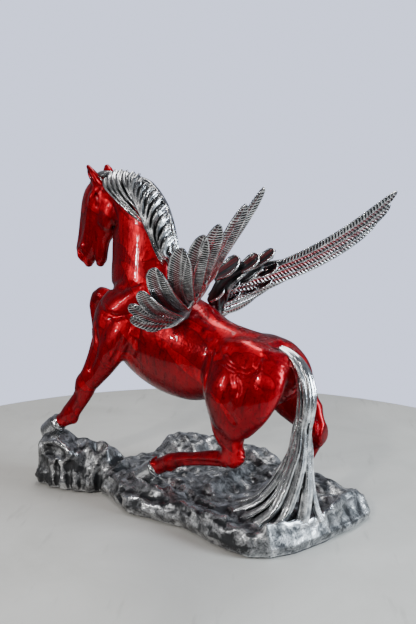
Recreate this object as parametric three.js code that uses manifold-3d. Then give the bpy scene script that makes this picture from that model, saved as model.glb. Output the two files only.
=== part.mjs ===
// A winged horse rearing off a rock: a desk sculpture cast in separate pieces and doweled together.
// Units are millimetres, +Z is up. The horse faces -X and its left side faces -Y.
// The origin lies on the underside of the felt, below the middle of the rock.

import * as THREE from 'three';
import { mergeVertices } from 'three/addons/utils/BufferGeometryUtils.js';
import Module from 'manifold-3d';

const wasm = await Module();
wasm.setup();

// Driving dimensions
const LENGTH = 376;            // from the boulder's front end to the rock's back end
const WIDTH = 273;             // from one wing's tip to the other's
const HEIGHT = 379;            // from the table to the tips of the ears
const SEAM = 0.3;              // clearance left between two castings that touch
const HORSE_Y = -25;           // the horse's mid-plane stands this far from the rock's middle
const FELT_THICKNESS = 1.5;
const FELT_INSET = 5;          // how far the felt stays inside the rock's foot
const ROCK_FLOOR = 25;         // height of the rock's level ground above the table
const BOULDER_HEIGHT = 36;     // how far the front boulder rises above that ground
const BOULDER_STEP_HEIGHT = 17;  // the same for the step behind the boulder
const BACK_LEDGE_HEIGHT = 18;  // how far the ledge on the far side rises above it
const BACK_ROLL_HEIGHT = 8;    // the same for the low roll near the right hind hoof
const RIDGE_HEIGHT = 9;        // the same for the ridge that crosses the ground
const FOLD_HEIGHT = 4.5;       // the same for its smaller folds
const LIP_HEIGHT = 6;          // the same for the rolled lip at its back end
const GROOVE_DEPTH = 4;        // how far the rock's grooves lie below its ground
const CREASE_DEPTH = 8;        // the same for the crease and the crater on the boulder's back
const END_FALL = 15;           // how far the ground falls at the rock's back end
const ROCK_BULGE = 4;          // how far the rock's waist swells past its foot
const DOWEL_RADIUS = 2.5;
const NECK_DOWEL_RADIUS = 4;
const HOOF_PIN_RADIUS = 1.5;
const SCREW_RADIUS = 2;
const SCREW_HEAD_RADIUS = 4;
const SCREW_HEAD_HEIGHT = 2.6;
const SCREW_GRIP = 12;         // rock left between a screw's head and the rock's surface
const SCREW_BITE = 7;          // how far a screw goes into what it holds
const JOINT_BLOCK = 200;       // side of the block that splits a leg at its joint, larger than any leg
const ROD_SIDES = 16;
const DOME_LEVELS = [0.45, 0.85];  // heights of the two rings that round off a limb's end
const FEATHER_THICKNESS = 1.6; // half of a blade's thickness at its quill
const COVERT_RISE = 2.4;       // how far the short scalloped feathers stand above the long ones
const RIGHT_WING_TURN = -4;    // degrees by which the right wing is set lower than the left one's mirror

// Every table of points is drawn at the size below. Its points are stretched to LENGTH, WIDTH and HEIGHT,
// with heights counted from the rock's ground, and its thicknesses follow the three stretches together.
const DRAWN = { length: 376, width: 273, height: 379, floor: 25 };
const STRETCH = {
  x: LENGTH / DRAWN.length,
  y: WIDTH / DRAWN.width,
  z: (HEIGHT - ROCK_FLOOR) / (DRAWN.height - DRAWN.floor),
};
const GIRTH = Math.cbrt(STRETCH.x * STRETCH.y * STRETCH.z);

const fitPoint = ([x, y, z]) => [
  x * STRETCH.x,
  y * STRETCH.y,
  ROCK_FLOOR + (z - DRAWN.floor) * STRETCH.z,
];
const fitStation = ([x, y, z, width, depth]) => [...fitPoint([x, y, z]), width * GIRTH, depth * GIRTH];
const toDrawn = (thickness) => thickness / GIRTH;

// Materials
const redLacquer = new THREE.MeshStandardMaterial({ color: 0xa60d12, roughness: 0.14, metalness: 0.35 });
const antiqueSilver = new THREE.MeshStandardMaterial({ color: 0x9da0a1, roughness: 0.32, metalness: 0.95 });
const rockSilver = new THREE.MeshStandardMaterial({ color: 0x8b8e90, roughness: 0.38, metalness: 0.9 });
const pinSteel = new THREE.MeshStandardMaterial({ color: 0xc2c4c6, roughness: 0.35, metalness: 1 });
const darkFelt = new THREE.MeshStandardMaterial({ color: 0x1d1d1f, roughness: 0.95, metalness: 0 });

// Solids

function toSolid(geometry) {
  const bare = geometry.clone();
  bare.deleteAttribute('normal');
  bare.deleteAttribute('uv');
  const merged = mergeVertices(bare, 1e-4);
  return new wasm.Manifold(new wasm.Mesh({
    numProp: 3,
    vertProperties: new Float32Array(merged.attributes.position.array),
    triVerts: new Uint32Array(merged.index.array),
  }));
}

function toMesh(name, solid, material) {
  const data = solid.getMesh();
  const geometry = new THREE.BufferGeometry();
  geometry.setAttribute('position', new THREE.BufferAttribute(new Float32Array(data.vertProperties), 3));
  geometry.setIndex(new THREE.BufferAttribute(new Uint32Array(data.triVerts), 1));
  geometry.computeVertexNormals();
  const mesh = new THREE.Mesh(geometry, material);
  mesh.name = name;
  return mesh;
}

/** The largest body of a solid, without the specks and sealed hollows that joining can leave. */
function mainBody(solid) {
  return solid.decompose().reduce((best, next) => (next.volume() > best.volume() ? next : best));
}

const join = (solids) => mainBody(solids.reduce((whole, next) => whole.add(next)));
const cut = (solid, tools) => mainBody(tools.reduce((left, tool) => left.subtract(tool), solid));

/** Closes a stack of rings, each with the same number of points, between two end points. */
function skinRings(rings, start, end) {
  const sides = rings[0].length;
  const positions = [start, ...rings.flat(), end].flatMap((p) => [p.x, p.y, p.z]);
  const last = rings.length * sides + 1;
  const index = [];
  for (let j = 0; j < sides; j++) {
    const k = (j + 1) % sides;
    index.push(0, 1 + k, 1 + j);
    for (let i = 0; i < rings.length - 1; i++) {
      const low = 1 + i * sides;
      const high = low + sides;
      index.push(low + j, low + k, high + k);
      index.push(low + j, high + k, high + j);
    }
    const rim = last - sides;
    index.push(last, rim + j, rim + k);
  }
  const geometry = new THREE.BufferGeometry();
  geometry.setAttribute('position', new THREE.Float32BufferAttribute(positions, 3));
  geometry.setIndex(index);
  return geometry;
}

/**
 * Sweeps an ellipse through stations [x, y, z, half width, half depth], with y counted from the
 * horse's mid-plane. The width lies along `across`, and each end is a dome, or flat with dome 0.
 */
function limb(table, options = {}) {
  const { sides = 12, perSpan = 1, grow = 0, across = [0, 1, 0], dome = 0.8 } = options;
  const stations = table.map(fitStation);
  const curve = new THREE.CatmullRomCurve3(stations.map(([x, y, z]) => new THREE.Vector3(x, y, z)));
  const spans = stations.length - 1;
  const steps = spans * perSpan;
  const wide = new THREE.Vector3(...across);
  const ring = (centre, tangent, width, depth) => {
    const a = wide.clone().addScaledVector(tangent, -wide.dot(tangent)).normalize();
    const d = new THREE.Vector3().crossVectors(tangent, a);
    return Array.from({ length: sides }, (_, j) => {
      const angle = (j / sides) * Math.PI * 2;
      return centre.clone()
        .addScaledVector(a, width * Math.cos(angle))
        .addScaledVector(d, depth * Math.sin(angle));
    });
  };
  const rings = [];
  const endCap = (step) => {
    const t = step / steps;
    const [, , , width, depth] = stations[step === 0 ? 0 : spans];
    const centre = curve.getPoint(t);
    const tangent = curve.getTangent(t);
    const sign = step === 0 ? -1 : 1;
    const height = dome * Math.min(width, depth) + grow;
    const cap = DOME_LEVELS.map((s) => {
      const shrink = Math.sqrt(1 - s * s);
      const middle = centre.clone().addScaledVector(tangent, sign * height * s);
      return ring(middle, tangent, (width + grow) * shrink, (depth + grow) * shrink);
    });
    return { cap: dome > 0 ? cap : [], pole: centre.addScaledVector(tangent, sign * height) };
  };
  const first = endCap(0);
  const last = endCap(steps);
  rings.push(...first.cap.reverse());
  for (let i = 0; i <= steps; i++) {
    const t = i / steps;
    const span = Math.min(Math.floor(i / perSpan), spans - 1);
    const within = i / perSpan - span;
    const width = THREE.MathUtils.lerp(stations[span][3], stations[span + 1][3], within) + grow;
    const depth = THREE.MathUtils.lerp(stations[span][4], stations[span + 1][4], within) + grow;
    rings.push(ring(curve.getPoint(t), curve.getTangent(t), width, depth));
  }
  rings.push(...last.cap);
  return toSolid(skinRings(rings, first.pole, last.pole));
}

/** A straight round rod from one point to another. */
function rod(from, to, radius) {
  const start = new THREE.Vector3(...from);
  const end = new THREE.Vector3(...to);
  const axis = end.clone().sub(start);
  const geometry = new THREE.CylinderGeometry(radius, radius, axis.length(), ROD_SIDES);
  geometry.applyQuaternion(new THREE.Quaternion().setFromUnitVectors(
    new THREE.Vector3(0, 1, 0),
    axis.clone().normalize(),
  ));
  geometry.translate(...start.add(end).multiplyScalar(0.5).toArray());
  return toSolid(geometry);
}

/** The rod itself, and the socket that takes it: wider and longer by the seam. */
function dowel(line, radius) {
  const [from, to] = line.map(fitPoint);
  const start = new THREE.Vector3(...from);
  const end = new THREE.Vector3(...to);
  const reach = end.clone().sub(start).normalize().multiplyScalar(SEAM);
  const socket = rod(start.clone().sub(reach).toArray(), end.clone().add(reach).toArray(), radius + SEAM);
  return { pin: rod(from, to, radius), socket };
}

// Rock

// Sections of the rock's foot along X: [x, near edge y, far edge y]
const rockPlan = [
  [-184, -76, -56], [-178, -91, -44], [-172, -93, -40], [-165, -90, -37], [-154, -93, -32],
  [-143, -88, -28], [-136, -90, -25], [-128, -84, -20], [-120, -84, -15], [-111, -77, -8], [-105, -76, 20],
  [-97, -65, 44], [-90, -68, 72], [-77, -68, 92], [-55, -78, 100], [-27, -88, 104], [8, -84, 99],
  [40, -79, 92], [79, -87, 84], [110, -91, 79], [134, -90, 78], [151, -78, 77], [163, -56, 75],
  [172, -16, 72], [180, 28, 64],
];
// Mounds on the rock: [x, y, radius along x, radius along y, height], and a fall at its right end
const mounds = [
  [-166, -70, 40, 34, BOULDER_HEIGHT],
  [-124, -52, 34, 36, BOULDER_STEP_HEIGHT],
  [-84, 66, 52, 40, BACK_LEDGE_HEIGHT],
  [0, 84, 60, 26, BACK_LEDGE_HEIGHT * 0.8],
  [96, 60, 60, 24, BACK_ROLL_HEIGHT],
  [188, 30, 20, 80, -END_FALL],
];
const MOUND_SHARPNESS = 3.2;    // higher values make a mound flatter on top and steeper at its edge
// Folds in the rock's top: a line of [x, y], how far its slopes reach, and its height (a groove's is < 0)
const folds = [
  { line: [[38, -32], [34, -3], [30, 27], [27, 59], [23, 92]], reach: 14, height: RIDGE_HEIGHT },
  { line: [[50, -16], [58, 4], [54, 30]], reach: 11, height: -GROOVE_DEPTH },
  { line: [[-71, -52], [-28, -66], [3, -66], [11, -38]], reach: 10, height: FOLD_HEIGHT },
  { line: [[-40, -83], [-10, -80], [16, -80]], reach: 9, height: -GROOVE_DEPTH },
  { line: [[-52, -50], [-28, -44], [-5, -29]], reach: 13, height: FOLD_HEIGHT },
  { line: [[23, -46], [43, -58], [66, -63]], reach: 7, height: -GROOVE_DEPTH },
  { line: [[78, -80], [98, -80]], reach: 11, height: FOLD_HEIGHT },
  { line: [[144, -74], [156, -57], [166, -37], [171, -14], [168, 14], [160, 42], [164, 62]], reach: 8,
    height: LIP_HEIGHT },
  { line: [[136, -60], [148, -36], [152, -6], [146, 30]], reach: 11, height: -GROOVE_DEPTH },
  { line: [[-95, -72], [-91, -52], [-95, -34]], reach: 9, height: -CREASE_DEPTH },
  { line: [[-127, -50], [-121, -61], [-108, -62], [-99, -52], [-104, -40], [-119, -38], [-127, -50]],
    reach: 7, height: FOLD_HEIGHT },
  { line: [[-115, -51], [-111, -50]], reach: 11, height: -CREASE_DEPTH },
];
// The crater in the boulder's front: [x, y, z, radius along x, along y, along z] of its rim and its hollow
const craterRim = [-148, -83, 45, 21, 10, 14];
const craterHollow = [-148, -90, 45, 16, 10, 9.5];
const wallHollow = [-72, -75, 19, 14, 7, 7];
const KNOB_SIDES = 16;
const SECTION_STEP = 8;
const ACROSS_STEPS = 23;
const CRAG_HEIGHT = 1.6;
const CRAG_WAVES = [[0.21, 0.13], [-0.07, 0.19]];  // turns per millimetre along x and y
const RIM_WIDTH = 6;            // the rounded edge of the rock's top
const RIM_SHARE = 0.2;          // largest share of a section's width that the rounded edge takes
const RIM_DROP = 0.6;
const WAIST_LEVEL = 0.35;       // height of the waist as a share of the floor's

/** How far a point of the plan lies from a line of points, all as [x, y]. */
function lineDistance(x, y, line) {
  const spans = line.slice(1).map(([endX, endY], i) => {
    const [startX, startY] = line[i];
    const [alongX, alongY] = [endX - startX, endY - startY];
    const share = ((x - startX) * alongX + (y - startY) * alongY) / (alongX ** 2 + alongY ** 2);
    const t = THREE.MathUtils.clamp(share, 0, 1);
    return Math.hypot(x - startX - alongX * t, y - startY - alongY * t);
  });
  return Math.min(...spans);
}

function rockHeight(realX, realY) {
  const [x, y] = [realX / STRETCH.x, realY / STRETCH.y];
  const rise = mounds.reduce((sum, [cx, cy, rx, ry, height]) => {
    const distance = Math.hypot((x - cx) / rx, (y - cy) / ry);
    return sum + height * Math.max(0, 1 - distance ** MOUND_SHARPNESS);
  }, 0);
  const fold = folds.reduce((sum, { line, reach, height }) => {
    const share = Math.min(1, lineDistance(x, y, line) / reach);
    return sum + height * (1 - share ** 2) ** 2;
  }, 0);
  const [first, second] = CRAG_WAVES.map(([alongX, alongY]) => x * alongX + y * alongY);
  return ROCK_FLOOR + rise + fold + CRAG_HEIGHT * Math.sin(first) * Math.cos(second);
}

const fittedPlan = rockPlan.map(([x, near, far]) => [x * STRETCH.x, near * STRETCH.y, far * STRETCH.y]);

/** The plan's sections, with further ones between them so that none are more than a step apart. */
function rockSections() {
  const between = fittedPlan.slice(1).flatMap((end, i) => {
    const start = fittedPlan[i];
    const steps = Math.ceil((end[0] - start[0]) / SECTION_STEP);
    return Array.from({ length: steps }, (_, step) => (
      start.map((value, axis) => THREE.MathUtils.lerp(value, end[axis], step / steps))
    ));
  });
  return [...between, fittedPlan.at(-1)];
}

/** An egg-shaped body round a point of the rock, for a lump or for a hollow. */
function knob([x, y, z, alongX, alongY, alongZ], shift, grow) {
  const geometry = new THREE.SphereGeometry(1, KNOB_SIDES, KNOB_SIDES / 2);
  geometry.scale(alongX * GIRTH + grow, alongY * GIRTH + grow, alongZ * GIRTH + grow);
  const [atX, atY, atZ] = fitPoint([x, y, z]);
  geometry.translate(atX, atY + shift, atZ);
  return toSolid(geometry);
}

/** The rock as a stack of sections across it; `y` shifts it and `grow` swells its skin. */
function rockSolid({ shift = 0, grow = 0 } = {}) {
  const foot = FELT_THICKNESS + SEAM - grow;
  const rings = rockSections().map(([x, near, far]) => {
    const point = (y, z) => new THREE.Vector3(x, y + shift, z);
    const low = near - grow;
    const high = far + grow;
    const edge = Math.min(RIM_WIDTH, (high - low) * RIM_SHARE);
    const waist = foot + ROCK_FLOOR * WAIST_LEVEL;
    const ring = [point(high, foot), point(high + ROCK_BULGE, waist)];
    for (let i = 0; i <= ACROSS_STEPS; i++) {
      const y = THREE.MathUtils.lerp(far, near, i / ACROSS_STEPS);
      const top = rockHeight(x, THREE.MathUtils.clamp(y, near + edge, far - edge)) + grow;
      if (i === 0) {
        ring.push(point(high, top - edge * RIM_DROP));
      } else if (i === ACROSS_STEPS) {
        ring.push(point(low, top - edge * RIM_DROP));
      } else {
        ring.push(point(y, top));
      }
    }
    ring.push(point(low - ROCK_BULGE, waist), point(low, foot));
    return ring;
  });
  const endPoint = (ring, reach) => {
    const middle = ring.reduce((sum, p) => sum.add(p), new THREE.Vector3()).divideScalar(ring.length);
    return middle.add(new THREE.Vector3(reach, 0, 0));
  };
  const start = endPoint(rings[0], -ROCK_BULGE - grow);
  const end = endPoint(rings.at(-1), ROCK_BULGE + grow);
  const bulk = join([toSolid(skinRings(rings, start, end)), knob(craterRim, shift, grow)]);
  return cut(bulk, [craterHollow, wallHollow].map((hollow) => knob(hollow, shift, -grow)));
}

function feltSolid() {
  const near = fittedPlan.map(([x, y]) => new THREE.Vector2(x, y + FELT_INSET));
  const far = fittedPlan.map(([x, , y]) => new THREE.Vector2(x, y - FELT_INSET)).reverse();
  const outline = new THREE.Shape([...near.slice(1, -1), ...far.slice(1, -1)]);
  return toSolid(new THREE.ExtrudeGeometry(outline, { depth: FELT_THICKNESS, bevelEnabled: false }));
}

// Horse: every station is [x, y, z, half width, half depth] with y counted from the mid-plane

const barrel = [
  [-103, 0, 208, 20, 24], [-92, 0, 206, 28, 38], [-70, 0, 200, 33, 50], [-40, 0, 188, 35, 57],
  [-10, 0, 180, 36, 58], [20, 0, 174, 36, 53.5], [48, 0, 170, 33, 43.5], [75, 0, 167, 34, 40],
  [100, 0, 165, 35, 38], [122, 0, 167, 28, 30], [134, 0, 171, 17, 20],
];
const neck = [
  [-60, 0, 222, 23, 42], [-63, 0, 248, 21, 42.5], [-64.5, 0, 272, 18, 41], [-65.5, 0, 294, 16, 40],
  [-70, 0, 316, 15, 37], [-84, 0, 337, 14, 31], [-102, 0, 347, 13, 24],
];
const skull = [
  [-120, 0, 353, 13, 18], [-130, 0, 336, 17, 27], [-137, 0, 314, 16, 25], [-143, 0, 296, 13.5, 19],
  [-151, 0, 280, 12, 16.5], [-158, 0, 268, 11.5, 15],
];
const jowl = [[-112, 0, 322, 13, 15], [-120, 0, 306, 14, 13.5]];
const chin = [[-130, 0, 286, 9, 10], [-134, 0, 265, 8, 7]];
const lowerLip = [[-146, 0, 276, 8, 8], [-151, 0, 262, 6.5, 5.5]];
const leftEar = [[-122, -10, 354, 4, 7], [-128, -12, 366, 4, 5.5], [-136, -13, 376, 1.4, 1.6]];
const rightEar = [[-122, 10, 356, 4, 8], [-128, 12, 368, 4, 6.5], [-133, 13, 378, 2, 2.6]];

// Muscles that stand out from the barrel and from the upper legs
const mirrored = (runs) => runs.map((run) => run.map(([x, y, ...rest]) => [x, -y, ...rest]));
const breast = [[[-98, -8, 220, 8, 12], [-107, -11, 206, 10, 14.5], [-108, -12, 192, 10, 14.5],
  [-100, -14, 178, 9, 12]]];
const muscles = [
  ...breast,
  ...mirrored(breast),
  [[-42, -22, 236, 5, 9.5], [-58, -27, 225, 6, 14.5], [-75, -30, 214, 7, 15.5], [-92, -31, 201, 7, 13]],
  [[-52, -29, 204, 6, 13], [-62, -33, 194, 8, 18], [-72, -35, 182, 9, 18], [-80, -36, 172, 7, 13]],
  [[-42, 22, 236, 5, 9.5], [-58, 27, 226, 6, 14.5], [-74, 29, 218, 7, 15.5], [-86, 29, 212, 6.6, 13]],
  [[-64, 31, 208, 7, 15.5], [-78, 33, 202, 7.6, 15.5]],
  [[70, -25, 186, 5, 9.5], [76, -30, 174, 7, 13], [79, -35, 160, 9, 15.5], [81, -39, 144, 8, 14.5]],
  [[89, -31, 180, 5, 9.5], [93, -38, 166, 8, 13], [93, -41, 151, 9, 13], [92, -40, 139, 8, 11]],
  [[112, -24, 184, 6, 9.5], [118, -31, 172, 8, 13], [118, -35, 156, 9, 14.5], [114, -36, 143, 8, 12]],
  [[129, -11, 186, 5, 7], [134, -19, 172, 6.6, 9.5], [133, -24, 158, 7, 9.5], [128, -28, 147, 6.4, 8]],
  [[80, 25, 182, 5, 9.5], [88, 32, 168, 8, 14.5], [94, 36, 153, 8.6, 14.5]],
  [[106, 26, 184, 6, 9.5], [113, 34, 168, 9, 14.5], [118, 36, 153, 8, 12]],
  [[129, 11, 186, 5, 7], [134, 19, 172, 6.6, 9.5], [135, 25, 160, 6.4, 9]],
];

// Legs: each starts inside the barrel, and its casting begins at the joint face given by a point and
// the direction in which the leg leaves it. The last run of a bent leg starts in the bent joint.
const legs = {
  left_foreleg: {
    runs: [[
      [-58, -16, 234, 10, 20], [-74, -24, 214, 13, 30], [-83, -28, 192, 14, 32], [-86, -31, 174, 13, 25],
      [-95, -34, 155, 12, 19.5], [-104, -37, 142, 10.5, 16.5], [-114, -39, 130, 10.5, 14.5],
      [-120, -40.5, 118, 9, 13], [-127, -41.5, 107, 8, 12.2], [-136, -42.5, 96, 7.6, 12],
      [-142, -43.5, 87, 8.2, 12.2], [-150, -44, 81, 8, 10.2], [-158, -44.6, 76, 7.8, 9.2],
    ]],
    joint: { at: [-92, -33, 162], along: [-0.62, -0.15, -0.77] },
    dowel: [[-82, -30.5, 177], [-101, -36, 147]],
    hoof: 'left_fore_hoof',
  },
  right_foreleg: {
    runs: [
      [[-58, 16, 234, 10, 20], [-74, 24, 216, 13, 28], [-90, 26, 206, 13, 22], [-106, 25, 206, 12, 17.5],
        [-129, 23, 212, 10, 14], [-152, 22, 220, 9.5, 11.5]],
      [[-160, 22, 220, 9, 10], [-165, 21, 205, 7.5, 10], [-164.5, 21, 188, 6.4, 8.4],
        [-162, 21, 173, 6.6, 8.5], [-158, 21, 162, 8, 10.5], [-153, 21, 153, 7, 8.4]],
    ],
    joint: { at: [-98, 25.5, 206], along: [-1, 0, 0] },
    dowel: [[-80, 25, 206], [-116, 24.5, 208]],
    hoof: 'right_fore_hoof',
  },
  left_hind_leg: {
    runs: [
      [[98, -12, 186, 14, 26], [99, -22, 174, 17, 39], [95, -30, 154, 18, 44],
        [90, -32, 134, 16, 38], [86, -32, 119, 13, 28], [83, -31, 105, 10.5, 19.5],
        [86, -29, 92, 8.5, 13], [88, -28, 80, 8, 10.5]],
      [[90, -28, 78, 7.5, 9], [62, -27, 74, 6.2, 8.5], [35, -26, 67, 5.5, 7.5], [15, -26, 62, 6.5, 8.5],
        [2, -26, 56, 8, 10], [-10, -25, 50, 7.8, 9.4], [-20, -25, 44.6, 7.8, 9.2]],
    ],
    joint: { at: [88, -32, 124], along: [-0.2, 0, -1] },
    dowel: [[90.5, -32, 138], [86, -32, 108]],
    hoof: 'left_hind_hoof',
  },
  right_hind_leg: {
    runs: [
      [[98, 12, 184, 14, 24], [103, 22, 172, 17, 34], [106, 30, 155, 16, 32], [113, 33, 136, 13, 25],
        [124, 33, 122, 11, 18], [137, 33, 111, 9, 12.5], [147, 33, 103, 8, 10]],
      [[150, 33, 103, 7.5, 9], [141, 33, 84, 6, 7.5], [130, 33, 62, 6, 7.5], [123, 33, 51, 7.5, 9],
        [113, 32, 43, 7, 8]],
    ],
    joint: { at: [117, 33, 131], along: [0.6, 0, -0.8] },
    dowel: [[108, 32.5, 142], [130, 33, 117]],
    hoof: 'right_hind_hoof',
  },
};
// Hooves: the three that stand run on into the rock, which trims them
const hooves = {
  left_fore_hoof: {
    stations: [[-158, -44.6, 76, 8.8, 10.2], [-170, -45.2, 68, 10, 12], [-182, -46, 57, 11, 13]],
    pin: [[-150, -44.1, 81], [-169.5, -45.2, 68.5]],
    screw: 'left_fore_screw',
  },
  right_fore_hoof: {
    stations: [[-152, 21, 152, 7.6, 8.6], [-150, 21, 143, 8.8, 9.6], [-147, 21, 134, 9.6, 10.6]],
    pin: [[-154.5, 21, 158], [-149.5, 21, 142]],
  },
  left_hind_hoof: {
    stations: [[-20, -25, 44.6, 8.8, 10.2], [-31, -25, 37.4, 9.6, 11.4], [-42, -25, 28, 10.5, 12.5]],
    pin: [[-9, -25.2, 50.6], [-31, -25, 37.8]],
    screw: 'left_hind_screw',
  },
  right_hind_hoof: {
    stations: [[112, 32, 42.3, 7.6, 8.6], [102, 32, 35, 8.8, 10], [90, 32, 25, 10.5, 12.5]],
    pin: [[118, 32.5, 47], [104, 32, 36.5]],
    screw: 'right_hind_screw',
  },
};

// Mane and tail

const crest = [
  [-112, 0, 364, 7, 7], [-92, -1, 363, 8, 8], [-66, -2, 355, 8, 9], [-43, -3, 339, 8, 9],
  [-27, -4, 318, 8, 9], [-21, -5, 297, 7, 8], [-19, -6, 280, 6, 7],
];
// Locks from the crest down the near side of the neck
const nearLocks = [
  [[-108, -7, 362, 4, 6], [-92, -14, 346, 4, 6], [-66, -19, 326, 3, 5], [-55, -20, 316, 1.5, 2]],
  [[-92, -7, 362, 4, 7], [-80, -14, 344, 4, 7], [-62, -18, 324, 3, 5], [-52, -19, 312, 1.5, 2]],
  [[-76, -7, 357, 4, 7], [-66, -14, 338, 4, 7], [-50, -18, 310, 3, 5], [-44, -19, 298, 1.5, 2]],
  [[-60, -7, 350, 4, 7], [-52, -14, 330, 4, 7], [-42, -18, 302, 3, 5], [-38, -20, 286, 1.5, 2]],
  [[-46, -7, 339, 4, 7], [-40, -14, 318, 4, 7], [-34, -18, 290, 3, 5], [-32, -20, 270, 1.5, 2]],
  [[-34, -7, 326, 4, 7], [-30, -14, 304, 4, 7], [-28, -18, 280, 3, 5], [-29, -20, 262, 1.5, 2]],
  [[-26, -8, 308, 4, 7], [-22, -14, 290, 4, 6], [-22, -18, 270, 3, 5], [-24, -20, 256, 1.5, 2]],
];
// Shorter locks on the far side
const farLocks = [
  [[-98, 6, 362, 4, 7], [-88, 13, 350, 4, 7], [-76, 17, 336, 1.5, 2]],
  [[-70, 6, 355, 4, 8], [-62, 13, 340, 4, 7], [-54, 17, 324, 1.5, 2]],
  [[-47, 6, 340, 4, 8], [-42, 13, 322, 4, 7], [-38, 17, 304, 1.5, 2]],
  [[-30, 5, 320, 4, 8], [-28, 12, 302, 4, 7], [-28, 17, 284, 1.5, 2]],
];
const forelockStations = [[-126, -1, 363, 4, 3], [-136, -2, 360, 4, 3], [-144, -2, 352, 1.5, 1.5]];
const tailCore = [
  [126, 0, 189, 6, 6], [141, -1, 183, 8.5, 8], [153, -3, 170, 10.5, 9], [159, -5, 152, 11.5, 10],
  [158, -6, 130, 10.5, 10], [152, -7, 108, 11.5, 10], [147, -8, 86, 15, 11], [142, -10, 64, 20, 12],
  [136, -12, 42, 27, 13], [132, -14, 20, 34, 15],
];
const TAIL_FAN = [0.9, 0.43, 0];  // the direction in which the tail spreads over the rock
// Where the tail's strands land on the rock, as [x, y]
const strandEnds = [[86, -12], [100, -30], [116, -36], [136, -31], [151, -21], [160, -7], [164, 13]];
// Levels of a strand: [share of the way out to its end, z, half width, half depth]
const strandLevels = [
  [0.05, 128, 4, 5], [0.16, 98, 5, 6], [0.36, 72, 5.5, 6], [0.66, 46, 6, 6.5], [1, 20, 6, 7],
];

function strandStations([x, y]) {
  const [rootX, rootY] = [151, -7];
  return strandLevels.map(([share, z, width, depth]) => [
    THREE.MathUtils.lerp(rootX, x, share),
    THREE.MathUtils.lerp(rootY, y, share),
    z,
    width,
    depth,
  ]);
}

// Wings: each feather runs from its quill to its tip, bows outward and down, and carries coverts on
// its upper side that ride on the padded arm near the quill.
const feathers = [
  { quill: [49, -28, 254], tip: [186, -117, 345], width: 6.5, bow: 16, pad: 9 },
  { quill: [45, -26, 248], tip: [174, -125, 332], width: 8.6, bow: 15, pad: 11 },
  { quill: [41, -25, 243], tip: [154, -134, 316], width: 9.4, bow: 14, pad: 10 },
  { quill: [36, -25, 237], tip: [140, -136, 307], width: 10.4, bow: 13, pad: 8 },
  { quill: [31, -27, 230], tip: [112, -130, 295], width: 12.4, bow: 11, pad: 6 },
  { quill: [27, -31, 223], tip: [69, -118, 275], width: 13.4, bow: 9, pad: 5 },
  { quill: [23, -35, 217], tip: [39, -104, 251], width: 13, bow: 7, pad: 4 },
  { quill: [19, -38, 213], tip: [8, -90, 235], width: 10.4, bow: 5, pad: 3 },
  { quill: [13, -40, 210], tip: [-6, -76, 219], width: 9, bow: 4, pad: 2 },
  { quill: [8, -41, 209], tip: [-4, -64, 212], width: 7, bow: 3, pad: 2 },
];
const BOW_DIRECTION = new THREE.Vector3(0, -0.7, -0.7);
const wingBone = [
  [6, -41, 208, 3, 3.5], [16, -37, 213, 4, 4.5], [24, -29, 225, 5, 5.5], [41, -25, 247, 5, 5.5],
  [70, -42, 266, 4, 4.5], [96, -63, 281, 3.2, 3.5], [128, -84, 302, 2.2, 2.5],
];
const wingArm = [
  [19, -22, 229, 7, 8], [35, -21, 251, 9, 9], [54, -30, 266, 8.5, 8.5], [78, -48, 279, 6, 6],
  [100, -63, 289, 3, 3.5],
];
const rightShoulder = [[26, 24, 254, 7, 9], [49, 34, 270, 8, 10], [76, 50, 275, 7, 9], [104, 66, 283, 5, 7],
  [128, 80, 292, 3, 4]];        // padding of the right wing alone, which is held higher at its shoulder
const wingRoot = [[8, -12, 208, 8, 10], [17, -24, 220, 7, 9], [28, -27, 233, 5, 7]];
const wingDowel = [[2, -6, 200], [26, -27, 228]];
const FEATHER_PROFILE = [[0, 0.35], [0.25, 0.85], [0.5, 1], [0.75, 0.95], [0.92, 0.65], [1, 0.15]];
const FEATHER_TAPER = 0.35;    // share of its thickness that a feather loses by its tip
// Coverts: two rows of short feathers, each from and to a share of the long feather's length
const covertRows = [[0.02, 0.27], [0.22, 0.5]];
const COVERT_PROFILE = [[0, 0.55, 0.4], [0.65, 1, 1], [1, 0.45, 0.8]];
const COVERT_WIDTH = 1.05;     // a covert's width as a share of the long feather's
const COVERT_THICKNESS = 1.5;
const COVERTED = 7;            // feathers, counted from the longest, that carry coverts
const PAD_END = 0.6;           // how far along a feather the arm's padding reaches

/** A point on a feather's bowed midline, with t from 0 at the quill to 1 at the tip. */
function featherPoint({ quill, tip, bow }, t) {
  const point = new THREE.Vector3(...quill).lerp(new THREE.Vector3(...tip), t);
  return point.addScaledVector(BOW_DIRECTION, bow * 4 * t * (1 - t));
}

/** The direction in which the fan spreads at a feather, from its neighbours' tips. */
function fanDirection(i) {
  const before = new THREE.Vector3(...feathers[Math.max(i - 1, 0)].tip);
  const after = new THREE.Vector3(...feathers[Math.min(i + 1, feathers.length - 1)].tip);
  return after.sub(before).normalize();
}

function featherSolid(feather, i) {
  const stations = FEATHER_PROFILE.map(([t, share]) => {
    const point = featherPoint(feather, t);
    const thickness = toDrawn(FEATHER_THICKNESS) * (1 - FEATHER_TAPER * t);
    return [...point.toArray(), feather.width * share, thickness];
  });
  return { stations, across: fanDirection(i).toArray() };
}

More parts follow.
